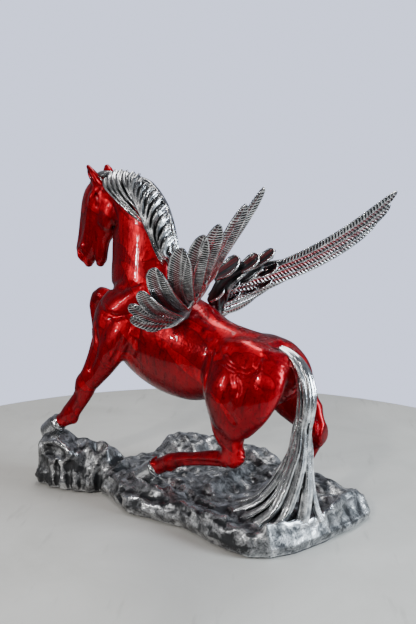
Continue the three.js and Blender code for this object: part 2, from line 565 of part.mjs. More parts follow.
function covertSolid(feather, i, [from, to]) {
  const spread = fanDirection(i);
  const run = featherPoint(feather, to).sub(featherPoint(feather, from)).normalize();
  const upper = new THREE.Vector3().crossVectors(run, spread).normalize();
  if (upper.z < 0) upper.negate();
  const stations = COVERT_PROFILE.map(([t, share, rise]) => {
    const along = THREE.MathUtils.lerp(from, to, t);
    const pad = feather.pad * Math.max(0, 1 - along / PAD_END);
    const lift = toDrawn(COVERT_RISE) * rise + pad;
    const point = featherPoint(feather, along).addScaledVector(upper, lift);
    return [...point.toArray(), feather.width * COVERT_WIDTH * share, toDrawn(COVERT_THICKNESS)];
  });
  return { stations, across: spread.toArray() };
}

/** Places a left-wing point or direction on either side: the right wing is mirrored, then turned. */
function wingPlacer(side) {
  if (side === 'left') {
    return { point: (p) => p, direction: (p) => p };
  }
  const mirror = ([x, y, z]) => new THREE.Vector3(x, -y, z);
  const pivot = mirror(feathers[0].quill);
  const axis = mirror(feathers[0].tip).sub(pivot).normalize();
  const angle = THREE.MathUtils.degToRad(RIGHT_WING_TURN);
  return {
    point: (p) => mirror(p).sub(pivot).applyAxisAngle(axis, angle).add(pivot).toArray(),
    direction: (p) => mirror(p).applyAxisAngle(axis, angle).toArray(),
  };
}

function wingSolid(side) {
  const { point, direction } = wingPlacer(side);
  const place = (stations) => stations.map(([x, y, z, ...size]) => [...point([x, y, z]), ...size]);
  const blade = ({ stations, across }) => limb(place(stations), {
    sides: 4,
    across: direction(across),
    dome: 0,
  });
  const long = feathers.map((feather, i) => blade(featherSolid(feather, i)));
  const short = feathers.slice(0, COVERTED).flatMap((feather, i) => (
    covertRows.map((row) => blade(covertSolid(feather, i, row)))
  ));
  return join([
    limb(place(wingBone), { sides: 8 }),
    limb(place(wingArm), { sides: 8 }),
    limb(place(wingRoot), { sides: 8 }),
    ...(side === 'right' ? [limb(rightShoulder, { sides: 8 })] : []),
    ...long,
    ...short,
  ]);
}

// Dowels between the castings, each as [from, to]
const dowelLines = {
  neck_dowel: [[-61, 0, 228], [-64, 0, 276]],
  tail_dowel: [[112, 0, 183], [144, -1, 181]],
  left_wing_dowel: wingDowel,
  right_wing_dowel: wingDowel.map(wingPlacer('right').point),
  ...Object.fromEntries(Object.entries(legs).map(([name, leg]) => [`${name}_dowel`, leg.dowel])),
};
// Screws from below, as [x, y from the mid-plane]
const screwPlaces = {
  left_fore_screw: [-176, -45.5],
  left_hind_screw: [-39, -25],
  right_hind_screw: [94, 32],
  tail_screw: [134, -13],
};

function screwParts(place) {
  const [x, y] = fitPoint([...place, 0]);
  const top = rockHeight(x, y + HORSE_Y);
  const seat = top - SCREW_GRIP;
  const tip = top + SCREW_BITE;
  const under = FELT_THICKNESS;
  return {
    screw: join([
      rod([x, y, seat], [x, y, tip], SCREW_RADIUS),
      rod([x, y, seat - SCREW_HEAD_HEIGHT], [x, y, seat], SCREW_HEAD_RADIUS),
    ]),
    shankHole: rod([x, y, seat - SEAM], [x, y, tip + SEAM], SCREW_RADIUS + SEAM),
    headBore: rod([x, y, under - 1], [x, y, seat + SEAM], SCREW_HEAD_RADIUS + SEAM),
  };
}

const mapEntries = (table, make) => (
  Object.fromEntries(Object.entries(table).map(([name, value]) => [name, make(value, name)]))
);
const dowels = mapEntries(dowelLines, (line, name) => (
  dowel(line, name === 'neck_dowel' ? NECK_DOWEL_RADIUS : DOWEL_RADIUS)
));
const hoofPins = mapEntries(hooves, ({ pin }) => dowel(pin, HOOF_PIN_RADIUS));
const screws = mapEntries(screwPlaces, screwParts);

/** A block that fills the leg's side of its joint face, to split the leg's casting from the torso's. */
function jointBlock({ at, along }, reach = 0) {
  const direction = new THREE.Vector3(...along).normalize();
  const up = new THREE.Vector3(0, 0, 1);
  const geometry = new THREE.BoxGeometry(JOINT_BLOCK, JOINT_BLOCK, JOINT_BLOCK);
  geometry.translate(0, 0, JOINT_BLOCK / 2);
  geometry.applyQuaternion(new THREE.Quaternion().setFromUnitVectors(up, direction));
  const centre = new THREE.Vector3(...fitPoint(at)).addScaledVector(direction, -reach);
  geometry.translate(...centre.toArray());
  return toSolid(geometry);
}

const legWhole = ({ runs }, grow = 0) => join(runs.map((stations) => limb(stations, { sides: 12, grow })));
const legLower = (leg) => legWhole(leg).intersect(jointBlock(leg.joint));
const legUpper = (leg, grow) => legWhole(leg, grow).subtract(jointBlock(leg.joint, SEAM - grow));
const torsoSolid = (grow) => join([
  limb(barrel, { sides: 18, grow }),
  ...Object.values(legs).map((leg) => mainBody(legUpper(leg, grow))),
  ...muscles.map((stations) => limb(stations, { sides: 10, grow })),
]);
const headSolid = (grow) => join([
  ...[neck, skull].map((stations) => limb(stations, { sides: 16, grow })),
  ...[jowl, chin, lowerLip].map((stations) => limb(stations, { sides: 10, grow })),
  ...[leftEar, rightEar].map((stations) => limb(stations, { sides: 8, grow, dome: 0.5 })),
]);
const tailSolid = () => join([
  limb(tailCore, { sides: 14, across: TAIL_FAN }),
  ...strandEnds.map((end) => limb(strandStations(end), { sides: 6, across: TAIL_FAN })),
]);

const torsoRoom = torsoSolid(SEAM);
const headRoom = headSolid(SEAM);
const rockRoom = rockSolid({ shift: -HORSE_Y, grow: SEAM });

// Assembly

const horse = new THREE.Group();
horse.position.y = HORSE_Y;

const dowelSockets = Object.values(dowels).map(({ socket }) => socket);
horse.add(toMesh('torso', cut(torsoSolid(0), dowelSockets), redLacquer));
horse.add(toMesh('neck_and_head', cut(headSolid(0), [torsoRoom, dowels.neck_dowel.socket]), redLacquer));

const maneWhole = join([
  limb(crest, { sides: 10 }),
  ...[...nearLocks, ...farLocks].map((stations) => limb(stations, { sides: 6, dome: 0 })),
]);
horse.add(toMesh('mane', cut(maneWhole, [headRoom, torsoRoom]), antiqueSilver));
const forelockWhole = limb(forelockStations, { sides: 8, perSpan: 2, dome: 0.5 });
horse.add(toMesh('forelock', cut(forelockWhole, [headRoom]), antiqueSilver));

for (const [name, leg] of Object.entries(legs)) {
  const tools = [torsoRoom, dowels[`${name}_dowel`].socket, hoofPins[leg.hoof].socket];
  horse.add(toMesh(name, cut(legLower(leg), tools), redLacquer));
  const hoof = hooves[leg.hoof];
  const hoofTools = [legWhole(leg, SEAM), hoofPins[leg.hoof].socket];
  if (hoof.screw) {
    hoofTools.push(rockRoom, screws[hoof.screw].shankHole);
  }
  const whole = limb(hoof.stations, { sides: 14, dome: 0 });
  horse.add(toMesh(leg.hoof, cut(whole, hoofTools), antiqueSilver));
}
for (const side of ['left', 'right']) {
  const solid = cut(wingSolid(side), [torsoRoom, dowels[`${side}_wing_dowel`].socket]);
  horse.add(toMesh(`${side}_wing`, solid, antiqueSilver));
}
const tailTools = [torsoRoom, rockRoom, dowels.tail_dowel.socket, screws.tail_screw.shankHole];
horse.add(toMesh('tail', cut(tailSolid(), tailTools), antiqueSilver));

for (const [name, { pin }] of Object.entries(dowels)) {
  horse.add(toMesh(name, pin, pinSteel));
}
for (const [name, { pin }] of Object.entries(hoofPins)) {
  horse.add(toMesh(`${name}_pin`, pin, pinSteel));
}
for (const [name, { screw }] of Object.entries(screws)) {
  horse.add(toMesh(name, screw, pinSteel));
}

const stand = new THREE.Group();
const screwHoles = Object.values(screws).flatMap(({ shankHole, headBore }) => [shankHole, headBore]);
const rockInHorseFrame = cut(rockSolid({ shift: -HORSE_Y }), screwHoles);
const rock = toMesh('rock_base', rockInHorseFrame, rockSilver);
rock.position.y = HORSE_Y;
stand.add(rock);
stand.add(toMesh('felt_pad', feltSolid(), darkFelt));

const sculpture = new THREE.Group();
sculpture.add(stand, horse);

export default sculpture;
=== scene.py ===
# %% [markdown]
# # A winged horse in crimson lacquer and antique silver
# The real sculpture is cast in pieces, plated with silver and rubbed with black, and its body is then
# brushed with a clear crimson lacquer. The solids of the model give every size and place. This lesson
# lays the fine skin over them: muscles, hair, feathers and rock, each with its own finish.
# Tables are in millimetres. In all but the rock's, y is counted from the horse's mid-plane.

# %% Load the solids
import itertools

import bpy
import numpy as np
import openvdb
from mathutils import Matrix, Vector


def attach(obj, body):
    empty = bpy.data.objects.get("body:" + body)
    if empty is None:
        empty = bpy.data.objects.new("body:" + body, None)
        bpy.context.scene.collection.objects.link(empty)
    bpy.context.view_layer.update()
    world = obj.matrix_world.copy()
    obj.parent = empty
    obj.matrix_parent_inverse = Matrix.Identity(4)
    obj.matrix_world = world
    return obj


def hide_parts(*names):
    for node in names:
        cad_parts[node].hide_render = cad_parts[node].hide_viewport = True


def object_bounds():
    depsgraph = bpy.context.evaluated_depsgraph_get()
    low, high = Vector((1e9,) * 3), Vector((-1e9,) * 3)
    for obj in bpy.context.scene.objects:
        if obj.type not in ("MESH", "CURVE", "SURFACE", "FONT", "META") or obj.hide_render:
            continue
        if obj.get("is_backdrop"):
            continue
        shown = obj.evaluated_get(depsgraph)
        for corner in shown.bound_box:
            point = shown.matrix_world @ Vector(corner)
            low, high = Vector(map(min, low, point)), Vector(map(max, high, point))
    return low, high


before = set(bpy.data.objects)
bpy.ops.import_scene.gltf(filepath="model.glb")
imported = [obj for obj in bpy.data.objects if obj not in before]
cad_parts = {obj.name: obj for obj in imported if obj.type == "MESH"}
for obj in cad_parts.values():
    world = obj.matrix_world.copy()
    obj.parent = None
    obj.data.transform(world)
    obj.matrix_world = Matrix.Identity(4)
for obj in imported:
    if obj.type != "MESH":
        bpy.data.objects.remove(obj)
solid_box = [list(map(float, corner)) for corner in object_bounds()]
MM = 0.001
HORSE_Y = -25                   # where the horse's mid-plane lies in the model
print("solids:", len(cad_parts), "box:", solid_box)

# %% [markdown]
# ## Camera
# The photograph looks down a little on the horse's left side, from behind its shoulder. The place and
# the lens were worked out from points that show in the photograph, such as hooves and wing tips.

# %% Camera
CAMERA_PLACE = (0.5361, -0.6365, 0.3330)
CAMERA_TURN = np.radians(39.5)
CAMERA_DIP = np.radians(8.16)
LENS = 43.85

look = Vector((
    -np.sin(CAMERA_TURN) * np.cos(CAMERA_DIP),
    np.cos(CAMERA_TURN) * np.cos(CAMERA_DIP),
    -np.sin(CAMERA_DIP),
))
camera = bpy.data.objects.new("camera", bpy.data.cameras.new("camera"))
camera.data.lens = LENS
camera.location = CAMERA_PLACE
camera.rotation_euler = look.to_track_quat("-Z", "Y").to_euler()
bpy.context.collection.objects.link(camera)
bpy.context.scene.camera = camera
print("camera at", CAMERA_PLACE)

# %% [markdown]
# ## Floor and light
# Polished metal and clear lacquer show what stands around them, so the light matters as much as the
# finish. Large soft panels give the long highlights, small lamps give the star-like ones, and a sky
# that is pale on one side and dim on the other gives the silver its dark half.

# %% Floor
FLOOR_RADIUS = 0.52
FLOOR_SIDES = 96
FLOOR_GAP = 0.0002


def mesh_object(name, points, faces):
    """A mesh from rows of points and rows of faces, which all have the same number of corners."""
    points, faces = np.asarray(points, np.float32), np.asarray(faces, np.int32)
    mesh = bpy.data.meshes.new(name)
    mesh.vertices.add(len(points))
    mesh.vertices.foreach_set("co", points.ravel())
    mesh.loops.add(faces.size)
    mesh.loops.foreach_set("vertex_index", faces.ravel())
    mesh.polygons.add(len(faces))
    mesh.polygons.foreach_set("loop_start", np.arange(0, faces.size, faces.shape[1], dtype=np.int32))
    mesh.update(calc_edges=True)
    made = bpy.data.objects.new(name, mesh)
    bpy.context.collection.objects.link(made)
    return made


turns = np.linspace(0, 2 * np.pi, FLOOR_SIDES, endpoint=False)
edge = [(FLOOR_RADIUS * np.cos(turn), FLOOR_RADIUS * np.sin(turn), -FLOOR_GAP) for turn in turns]
floor = mesh_object("floor", edge, [list(range(FLOOR_SIDES))])
floor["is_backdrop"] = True
print("floor radius", FLOOR_RADIUS)

# %% Lamps
# Each panel: place, the point it faces, width, height, power in watts and colour
PANELS = {
    "window": ((1.30, 0.30, 0.50), (0, 0, 0.06), 0.45, 0.9, 38, (0.80, 0.91, 1.0)),
    "ceiling": ((-0.2, 0.2, 1.5), (0, 0, 0.15), 0.35, 1.1, 11, (1.0, 0.98, 0.95)),
    "front": ((-0.75, -1.25, 0.60), (0, 0, 0.2), 0.03, 0.4, 3.4, (1.0, 0.98, 0.96)),
    "fill": ((0.5, -1.5, 0.9), (0, 0, 0.15), 0.07, 0.07, 12, (1.0, 0.97, 0.94)),
    "lamp": ((-0.85, -1.25, 0.42), (0, 0, 0.2), 0.035, 0.035, 2.6, (1.0, 1.0, 1.0)),
    "bulb": ((0.1, -1.1, 1.05), (0, 0, 0.2), 0.04, 0.04, 2.2, (1.0, 0.97, 0.92)),
}
for name, (place, aim, width, height, power, colour) in PANELS.items():
    panel = bpy.data.lights.new(name, "AREA")
    panel.shape = "RECTANGLE"
    panel.size = width
    panel.size_y = height
    panel.energy = power
    panel.color = colour
    holder = bpy.data.objects.new(name, panel)
    holder.location = place
    holder.rotation_euler = (Vector(aim) - Vector(place)).to_track_quat("-Z", "Y").to_euler()
    bpy.context.collection.objects.link(holder)
print("panels:", ", ".join(PANELS))

# %% [markdown]
# ## A helper for shader nodes
# A recipe holds one node tree. Each of its short calls adds a node, sets its values and links whatever is
# given as a socket, so every finish further on reads like a list of what goes into it.

# %% Node helper


class Recipe:
    """Adds nodes to one tree. An input is given as a value, or as a socket to link."""

    def __init__(self, tree):
        self.tree = tree

    def fill(self, node, inputs):
        for key, value in inputs.items():
            if isinstance(value, bpy.types.NodeSocket):
                self.tree.links.new(value, node.inputs[key])
            else:
                node.inputs[key].default_value = value

    def put(self, kind, inputs=None, **settings):
        node = self.tree.nodes.new(kind)
        for key, value in settings.items():
            setattr(node, key, value)
        self.fill(node, inputs or {})
        return node

    def mix(self, amount, first, second):
        return self.put("ShaderNodeMix", {0: amount, 6: first, 7: second}, data_type="RGBA").outputs[2]

    def maths(self, operation, first, second=0.5, clamp=False):
        inputs = {0: first, 1: second}
        return self.put("ShaderNodeMath", inputs, operation=operation, use_clamp=clamp).outputs[0]

    def plus(self, first, second, clamp=False):
        return self.maths("ADD", first, second, clamp)

    def times(self, first, second, clamp=False):
        return self.maths("MULTIPLY", first, second, clamp)

    def remap(self, value, low, high, to_low=0.0, to_high=1.0):
        inputs = {"Value": value, "From Min": low, "From Max": high, "To Min": to_low, "To Max": to_high}
        return self.put("ShaderNodeMapRange", inputs, clamp=True).outputs[0]

    def stretched(self, turn=(0, 0, 0), lengths=(1, 1, 1)):
        """Object coordinates whose patterns are turned by three angles, then drawn out by three lengths."""
        place = self.put("ShaderNodeTexCoord").outputs["Object"]
        inputs = {"Vector": place, "Rotation": tuple(np.radians(turn)), "Scale": lengths}
        return self.put("ShaderNodeMapping", inputs, vector_type="TEXTURE").outputs[0]

    def noise(self, vector, scale, detail=3.0, roughness=0.55, distortion=0.0):
        inputs = dict(zip(("Vector", "Scale", "Detail", "Roughness", "Distortion"),
                          (vector, scale, detail, roughness, distortion)))
        return self.put("ShaderNodeTexNoise", inputs).outputs["Fac"]


print("node helper ready")

# %% World
HORIZON_PALE = (0.24, 0.25, 0.29, 1.0)
HORIZON_DIM = (0.03, 0.032, 0.036, 1.0)
BACKDROP = (1.10, 1.19, 1.56, 1.0)
PALE_SIDE = (-0.35, 0.75, 0.56)

world = bpy.data.worlds.new("studio")
bpy.context.scene.world = world
world.use_nodes = True
sky = Recipe(world.node_tree)
sky.tree.nodes.clear()
direction = sky.put("ShaderNodeTexCoord").outputs["Generated"]
away = sky.put("ShaderNodeVectorMath", {0: direction, 1: PALE_SIDE}, operation="DOT_PRODUCT")
around = sky.mix(sky.remap(away.outputs["Value"], -0.35, 0.75), HORIZON_DIM, HORIZON_PALE)
seen = sky.put("ShaderNodeLightPath").outputs["Is Camera Ray"]
glow = sky.put("ShaderNodeBackground", {"Color": sky.mix(seen, around, BACKDROP), "Strength": 1.0})
sky.put("ShaderNodeOutputWorld", {"Surface": glow.outputs[0]})
print("sky pale on the far side, dim behind the camera")

# %% [markdown]
# ## Finish: crimson lacquer
# The body is plated first, then brushed with a clear crimson lacquer, so light passes through the
# colour and comes back from the metal. A half metallic base in mottled red with a smooth clear coat on
# top does the same. Seen at a slant, light has a longer way through the colour, so the edges turn
# deeper. The brush leaves strokes: noise stretched along the brush and cut into two levels, as
# overlapping coats are, with a dark line where one coat ends on the other.

# %% Groups and finishes


def new_group(name, inputs, outputs):
    """A node group's recipe, with its float or colour inputs and outputs, given as {name: default}."""
    group = bpy.data.node_groups.new(name, "ShaderNodeTree")
    for side, table in (("INPUT", inputs), ("OUTPUT", outputs)):
        for label, default in table.items():
            kind = "NodeSocketColor" if isinstance(default, tuple) else "NodeSocketFloat"
            socket = group.interface.new_socket(label, in_out=side, socket_type=kind)
            if side == "INPUT":
                socket.default_value = default
    recipe = Recipe(group)
    return recipe, recipe.put("NodeGroupInput").outputs, recipe.put("NodeGroupOutput")


class Finish(Recipe):
    """A material with one Principled BSDF, whose plain values are given."""

    def __init__(self, name, shader):
        self.material = bpy.data.materials.new(name)
        self.material.use_nodes = True
        super().__init__(self.material.node_tree)
        self.tree.nodes.clear()
        self.skin = self.put("ShaderNodeBsdfPrincipled", shader)
        self.put("ShaderNodeOutputMaterial", {"Surface": self.skin.outputs[0]})

    def feature(self, name):
        """The mask that a mesh carries under this name, such as how hollow its surface is."""
        node = self.put("ShaderNodeAttribute", attribute_type="GEOMETRY", attribute_name=name)
        return node.outputs["Fac"]

    def wear(self, inputs, height, depth, strength):
        """The shader's patterned inputs, and a bump of a depth in metres."""
        bump = self.put("ShaderNodeBump", {"Height": height, "Distance": depth, "Strength": strength})
        self.fill(self.skin, {**inputs, "Normal": bump.outputs[0]})


print("groups and finishes ready")

# %% Brush stroke group
BLANK = (0.0, 0.0, 0.0, 1.0)
brush, given, made = new_group(
    "brush_strokes",
    {"Bright": (0.6, 0.0, 0.0, 1.0), "Middle": (0.3, 0.0, 0.0, 1.0), "Deep": (0.05, 0.0, 0.0, 1.0)},
    {"Colour": BLANK, "Height": 0.0},
)
upright = brush.stretched((0, 12, 0), (1.0, 1.2, 4.0))
slanting = brush.stretched((0, -52, 0), (1.0, 1.2, 3.5))
wide = brush.noise(upright, 62, 4, 0.6, 0.9)
fine_strokes = brush.noise(upright, 210, 3, 0.6, 0.4)
overlap = brush.noise(slanting, 27, 2, 0.5, 1.0)
outline = brush.maths("ABSOLUTE", brush.maths("SUBTRACT", overlap, 0.485))
outline = brush.remap(outline, 0.0, 0.022, 0.6, 0.0)
base = brush.mix(brush.remap(wide, 0.40, 0.66), given["Bright"], given["Middle"])
layered = brush.mix(brush.remap(overlap, 0.47, 0.50, 0.0, 0.62), base, given["Middle"])
creases = brush.maths("MAXIMUM", brush.remap(fine_strokes, 0.52, 0.74, 0.0, 0.75), outline)
brush.fill(made, {
    "Colour": brush.mix(creases, layered, given["Deep"]), "Height": brush.plus(wide, fine_strokes),
})
print("brush stroke group made")

# %% Lacquer
LACQUER_BRIGHT = (0.53, 0.0, 0.01, 1.0)
LACQUER_MIDDLE = (0.175, 0.0, 0.004, 1.0)
LACQUER_DEEP = (0.016, 0.0, 0.001, 1.0)

lacquer = Finish("crimson_lacquer", {
    "Metallic": 0.5, "Specular IOR Level": 0.1, "Coat Weight": 0.32, "Coat Roughness": 0.03,
    "Coat IOR": 1.38,
})
strokes = lacquer.put("ShaderNodeGroup", {
    "Bright": LACQUER_BRIGHT, "Middle": LACQUER_MIDDLE, "Deep": LACQUER_DEEP,
}, node_tree=brush.tree).outputs
pooled = lacquer.remap(lacquer.feature("hollow"), 0.12, 0.7, 0.0, 0.6)
grazing = lacquer.put("ShaderNodeLayerWeight", {"Blend": 0.35}).outputs["Facing"]
colour = lacquer.mix(pooled, strokes["Colour"], LACQUER_DEEP)
colour = lacquer.mix(lacquer.remap(grazing, 0.25, 0.95, 0.0, 0.85), colour, LACQUER_DEEP)
plain = lacquer.stretched()
roughness = lacquer.remap(lacquer.noise(plain, 300), 0.3, 0.7, 0.24, 0.4)
ripple = lacquer.plus(lacquer.noise(plain, 70, 2), lacquer.times(strokes["Height"], 0.25))
patches = lacquer.remap(lacquer.noise(plain, 22, 2), 0.5, 0.6, 0.0, 0.5)
drips = lacquer.times(lacquer.noise(plain, 330, 1), patches)
lacquer.wear({"Base Color": colour, "Roughness": roughness}, lacquer.plus(ripple, drips), 0.0012, 0.5)
print("lacquer over plating")

# %% Slab
slab = Finish("slab", {"Roughness": 0.55})
stains = slab.remap(slab.noise(slab.stretched(), 7, 5, 0.62, 0.6), 0.3, 0.7)
scuffs = slab.noise(slab.stretched((0, 0, 35), (1, 6, 1)), 60, 3, 0.6)
paled = slab.mix(stains, (0.50, 0.49, 0.46, 1.0), (0.60, 0.59, 0.56, 1.0))
scuffed = slab.mix(slab.remap(scuffs, 0.62, 0.74, 0.0, 0.35), paled, (0.30, 0.29, 0.27, 1.0))
slab.fill(slab.skin, {"Base Color": scuffed})
floor.data.materials.append(slab.material)
print("slab finish on the floor")

# %% [markdown]
# ## Finish: antique silver
# The silver is rubbed with black and wiped, so the black stays in every groove and pit and the ridges
# shine. Each modelled mesh carries two masks, how hollow it is and how much it stands out. The group
# below turns them into colour and roughness, with speckles where the wiping missed.

# %% Patina group
rub, given, made = new_group(
    "rubbed_patina",
    {"Hollow": 0.0, "Ridge": 0.0, "Held": 0.1, "Patchy": 0.9, "Grain": 1.0, "Speckle": 0.5,
     "Shine": (0.8, 0.8, 0.8, 1.0), "Worn": (0.45, 0.45, 0.46, 1.0), "Black": (0.02, 0.02, 0.022, 1.0)},
    {"Colour": BLANK, "Roughness": 0.3, "Dark": 0.0, "Height": 0.0},
)
plain = rub.stretched()
smears = rub.noise(plain, 95, 4, 0.62, 0.5)
specks = rub.noise(plain, 620, 3, 0.7)
uneven = rub.times(rub.maths("SUBTRACT", smears, 0.5), given["Patchy"])
settled = rub.plus(rub.plus(given["Hollow"], given["Held"]), uneven)
settled = rub.plus(settled, rub.times(given["Ridge"], -0.9))
missed = rub.times(rub.remap(specks, 0.55, 0.7), given["Speckle"])
dark = rub.plus(rub.remap(settled, -0.08, 0.40), missed, clamp=True)
bright = rub.mix(rub.remap(smears, 0.35, 0.65), given["Shine"], given["Worn"])
rub.fill(made, {
    "Colour": rub.mix(dark, bright, given["Black"]), "Roughness": rub.remap(dark, 0.0, 1.0, 0.15, 0.45),
    "Dark": dark, "Height": rub.times(specks, given["Grain"]),
})
print("patina group made")

# %% Silver finishes
STAIN = (0.30, 0.007, 0.016, 1.0)
BLACKING = (0.010, 0.011, 0.013, 1.0)
SILVER = (0.84, 0.85, 0.86, 1.0)
PALE_GREY = (0.30, 0.31, 0.33, 1.0)
GREY = (0.24, 0.245, 0.26, 1.0)
DULL = (0.165, 0.168, 0.18, 1.0)


def silver_finish(name, worn, held, patchy, speckle, grain, stain=0.0):
    """Antique silver: `held` is how much black plain parts keep, `patchy` how unevenly, and `stain` how
    much crimson shows where the mesh carries the mask of that name."""
    finish = Finish(name, {"Coat Weight": 0.3, "Coat Roughness": 0.12})
    patina = finish.put("ShaderNodeGroup", {
        "Hollow": finish.feature("hollow"), "Ridge": finish.feature("ridge"), "Grain": grain,
        "Held": held, "Patchy": patchy, "Speckle": speckle, "Shine": SILVER, "Worn": worn, "Black": BLACKING,
    }, node_tree=rub.tree).outputs
    colour = patina["Colour"]
    if stain:
        colour = finish.mix(finish.times(finish.feature("stain"), stain, clamp=True), colour, STAIN)
    metallic = finish.remap(patina["Dark"], 0, 1, 1.0, 0.55)
    look = {"Base Color": colour, "Roughness": patina["Roughness"], "Metallic": metallic}
    finish.wear(look, patina["Height"], 0.0004, 0.5)
    return finish


hair_silver = silver_finish("hair_silver", GREY, 0.26, 0.3, 0.2, 0.6)
tail_silver = silver_finish("tail_silver", PALE_GREY, 0.2, 0.6, 0.3, 0.6)
feather_silver = silver_finish("feather_silver", GREY, 0.26, 0.7, 0.4, 1.0, 0.75)
# A copy of the silver that holds much more black: painted shade for the arm of the wing on the horse's far
# side.
painted_shade_silver = silver_finish("painted_shade_silver", GREY, 0.6, 0.9, 0.4, 1.0)
rock_silver = silver_finish("rock_silver", DULL, 0.22, 1.0, 0.9, 1.4)
hoof_silver = silver_finish("hoof_silver", GREY, 0.05, 0.9, 0.3, 0.6)
print("silver finishes made")

# %% [markdown]
# ## Finish: the hidden parts
# Steel dowels, pins and screws hold the castings together, and a felt pad lies under the rock. They
# stay as the solids drew them and only get a surface: steel with the lathe's fine rings, and felt with
# short tangled fibres.

# %% Steel and felt
steel = Finish("turned_steel", {"Metallic": 1.0})
rings = steel.noise(steel.stretched(lengths=(6, 6, 1)), 900, 3, 0.6)
worn = steel.remap(steel.noise(steel.stretched(), 120, 4, 0.6), 0.35, 0.7)
tint = steel.mix(worn, (0.56, 0.57, 0.58, 1.0), (0.36, 0.36, 0.37, 1.0))
steel.wear({"Base Color": tint, "Roughness": steel.remap(rings, 0.3, 0.7, 0.22, 0.42)}, rings, 0.0001, 0.4)

felt = Finish("felt", {"Roughness": 0.95, "Specular IOR Level": 0.15, "Sheen Weight": 0.3})
fibres = felt.noise(felt.stretched((0, 0, 25), (1, 3, 1)), 1400, 4, 0.7, 1.5)
tufts = felt.noise(felt.stretched(), 260, 3, 0.6)
tint = felt.mix(felt.remap(fibres, 0.35, 0.65), (0.014, 0.014, 0.016, 1.0), (0.05, 0.05, 0.054, 1.0))
tint = felt.mix(felt.remap(tufts, 0.5, 0.75, 0.0, 0.5), tint, (0.08, 0.078, 0.074, 1.0))
felt.wear({"Base Color": tint}, felt.plus(fibres, tufts), 0.0005, 0.7)

hidden = [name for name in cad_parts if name.endswith(("dowel", "pin", "screw", "pad"))]
for name in hidden:
    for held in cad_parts[name].material_slots:
        held.material = (felt if name == "felt_pad" else steel).material
print("hidden parts with a finish:", len(hidden))

# %% [markdown]
# ## Clay
# A cast animal has no hard joins: every muscle flows into the next. Such shapes are easiest to make as
# a distance field, a block of numbers that gives the distance to the surface at each point. Limbs are
# swept along smooth curves, added with a soft union, and grooves are carved with a soft cut. OpenVDB
# then wraps an even skin of quads round the block. The same block says how hollow each spot is.

# %% Sweeps
SAMPLES = 6                     # in each span between two stations
THINNEST = 0.15
LENGTHWISE = 0.97               # a run this near to the across direction is framed by x instead


def unit(rows):
    return rows / np.maximum(np.linalg.norm(rows, axis=-1), 1e-6)[..., None]


def square_to(ahead, rows):
    """Unit vectors square to those ahead, as near to the given rows as they can be."""
    return unit(rows - ahead * (ahead * rows).sum(1)[:, None])


def sweep(stations, across=(0, 1, 0)):
    """A smooth run through stations [x, y, z, half width, half depth], with its frame at each sample."""
    given = np.array(stations, float)
    spans = len(given) - 1
    padded = np.vstack([2 * given[0] - given[1], given, 2 * given[-1] - given[-2]])
    t = np.linspace(0, spans, spans * SAMPLES + 1)
    i = np.minimum(t.astype(int), spans - 1)
    f = (t - i)[:, None]
    p0, p1, p2, p3 = (padded[i + k] for k in range(4))
    bend = f * (2 * p0 - 5 * p1 + 4 * p2 - p3 + f * (3 * p1 - p0 - 3 * p2 + p3))
    rows = p1 + 0.5 * f * (p2 - p0 + bend)
    rows[:, 3:] = np.maximum(rows[:, 3:], THINNEST)
    ahead = unit(np.gradient(rows[:, :3], axis=0))
    parallel = np.abs(ahead @ np.array(across, float)) > LENGTHWISE
    side = np.where(parallel[:, None], np.array([1.0, 0, 0]), np.array(across, float))
    wide = square_to(ahead, side)
    return np.hstack([rows, ahead, wide, np.cross(ahead, wide)])


rod = sweep([[0, 0, 0, 5, 5], [20, 0, 0, 5, 5]])
print("columns of a sample: place, half sizes, ahead, across, out =", rod.shape[1])

# %% Distance to a sweep
DOME = 0.8                      # how far a run's ends bulge, as a share of its half size


def distance_to(points, run):
    """Signed distance, near the surface, from points to the elliptic tube round a run."""
    centres = run[:, :3]
    near = np.argmin((centres ** 2).sum(1) - 2 * points @ centres.T, axis=1)
    spacing = np.maximum(np.linalg.norm(np.gradient(centres, axis=0), axis=1), 1e-3)
    forward = ((points - centres[near]) * run[near, 5:8]).sum(1)
    t = np.clip(near + forward / spacing[near], 0, len(run) - 1)
    low = np.minimum(t.astype(int), len(run) - 2)
    f = (t - low)[:, None]
    here = run[low] * (1 - f) + run[low + 1] * f
    offset = points - here[:, :3]
    wide, deep = here[:, 3], here[:, 4]
    sizes = np.stack([wide, deep, np.minimum(wide, deep) * DOME], 1)
    parts = np.stack([(offset * here[:, k:k + 3]).sum(1) for k in (8, 11, 5)], 1)
    reach = np.sqrt(((parts / sizes) ** 2).sum(1))
    slope = np.sqrt(((parts / sizes ** 2) ** 2).sum(1))
    return reach * (reach - 1) / np.maximum(slope, 1e-6)


def soft_min(first, second, blend):
    overlap = np.maximum(blend - np.abs(first - second), 0) / blend
    return np.minimum(first, second) - overlap * overlap * blend * 0.25


def between(corner, share, value_at):
    """Values inside a grid's cells, from the eight corners of each."""
    total = np.zeros(len(share))
    for step in itertools.product((0, 1), repeat=3):
        near = np.abs(1 - np.array(step) - share)
        total += near[:, 0] * near[:, 1] * near[:, 2] * value_at(corner + step)
    return total


print("distance at 3 mm off a 5 mm rod:", distance_to(np.array([[10.0, 8.0, 0.0]]), rod))

# %% Clay block
FAR = 60.0
BLOCK = 14                      # cells along each side of the blocks that are measured at once


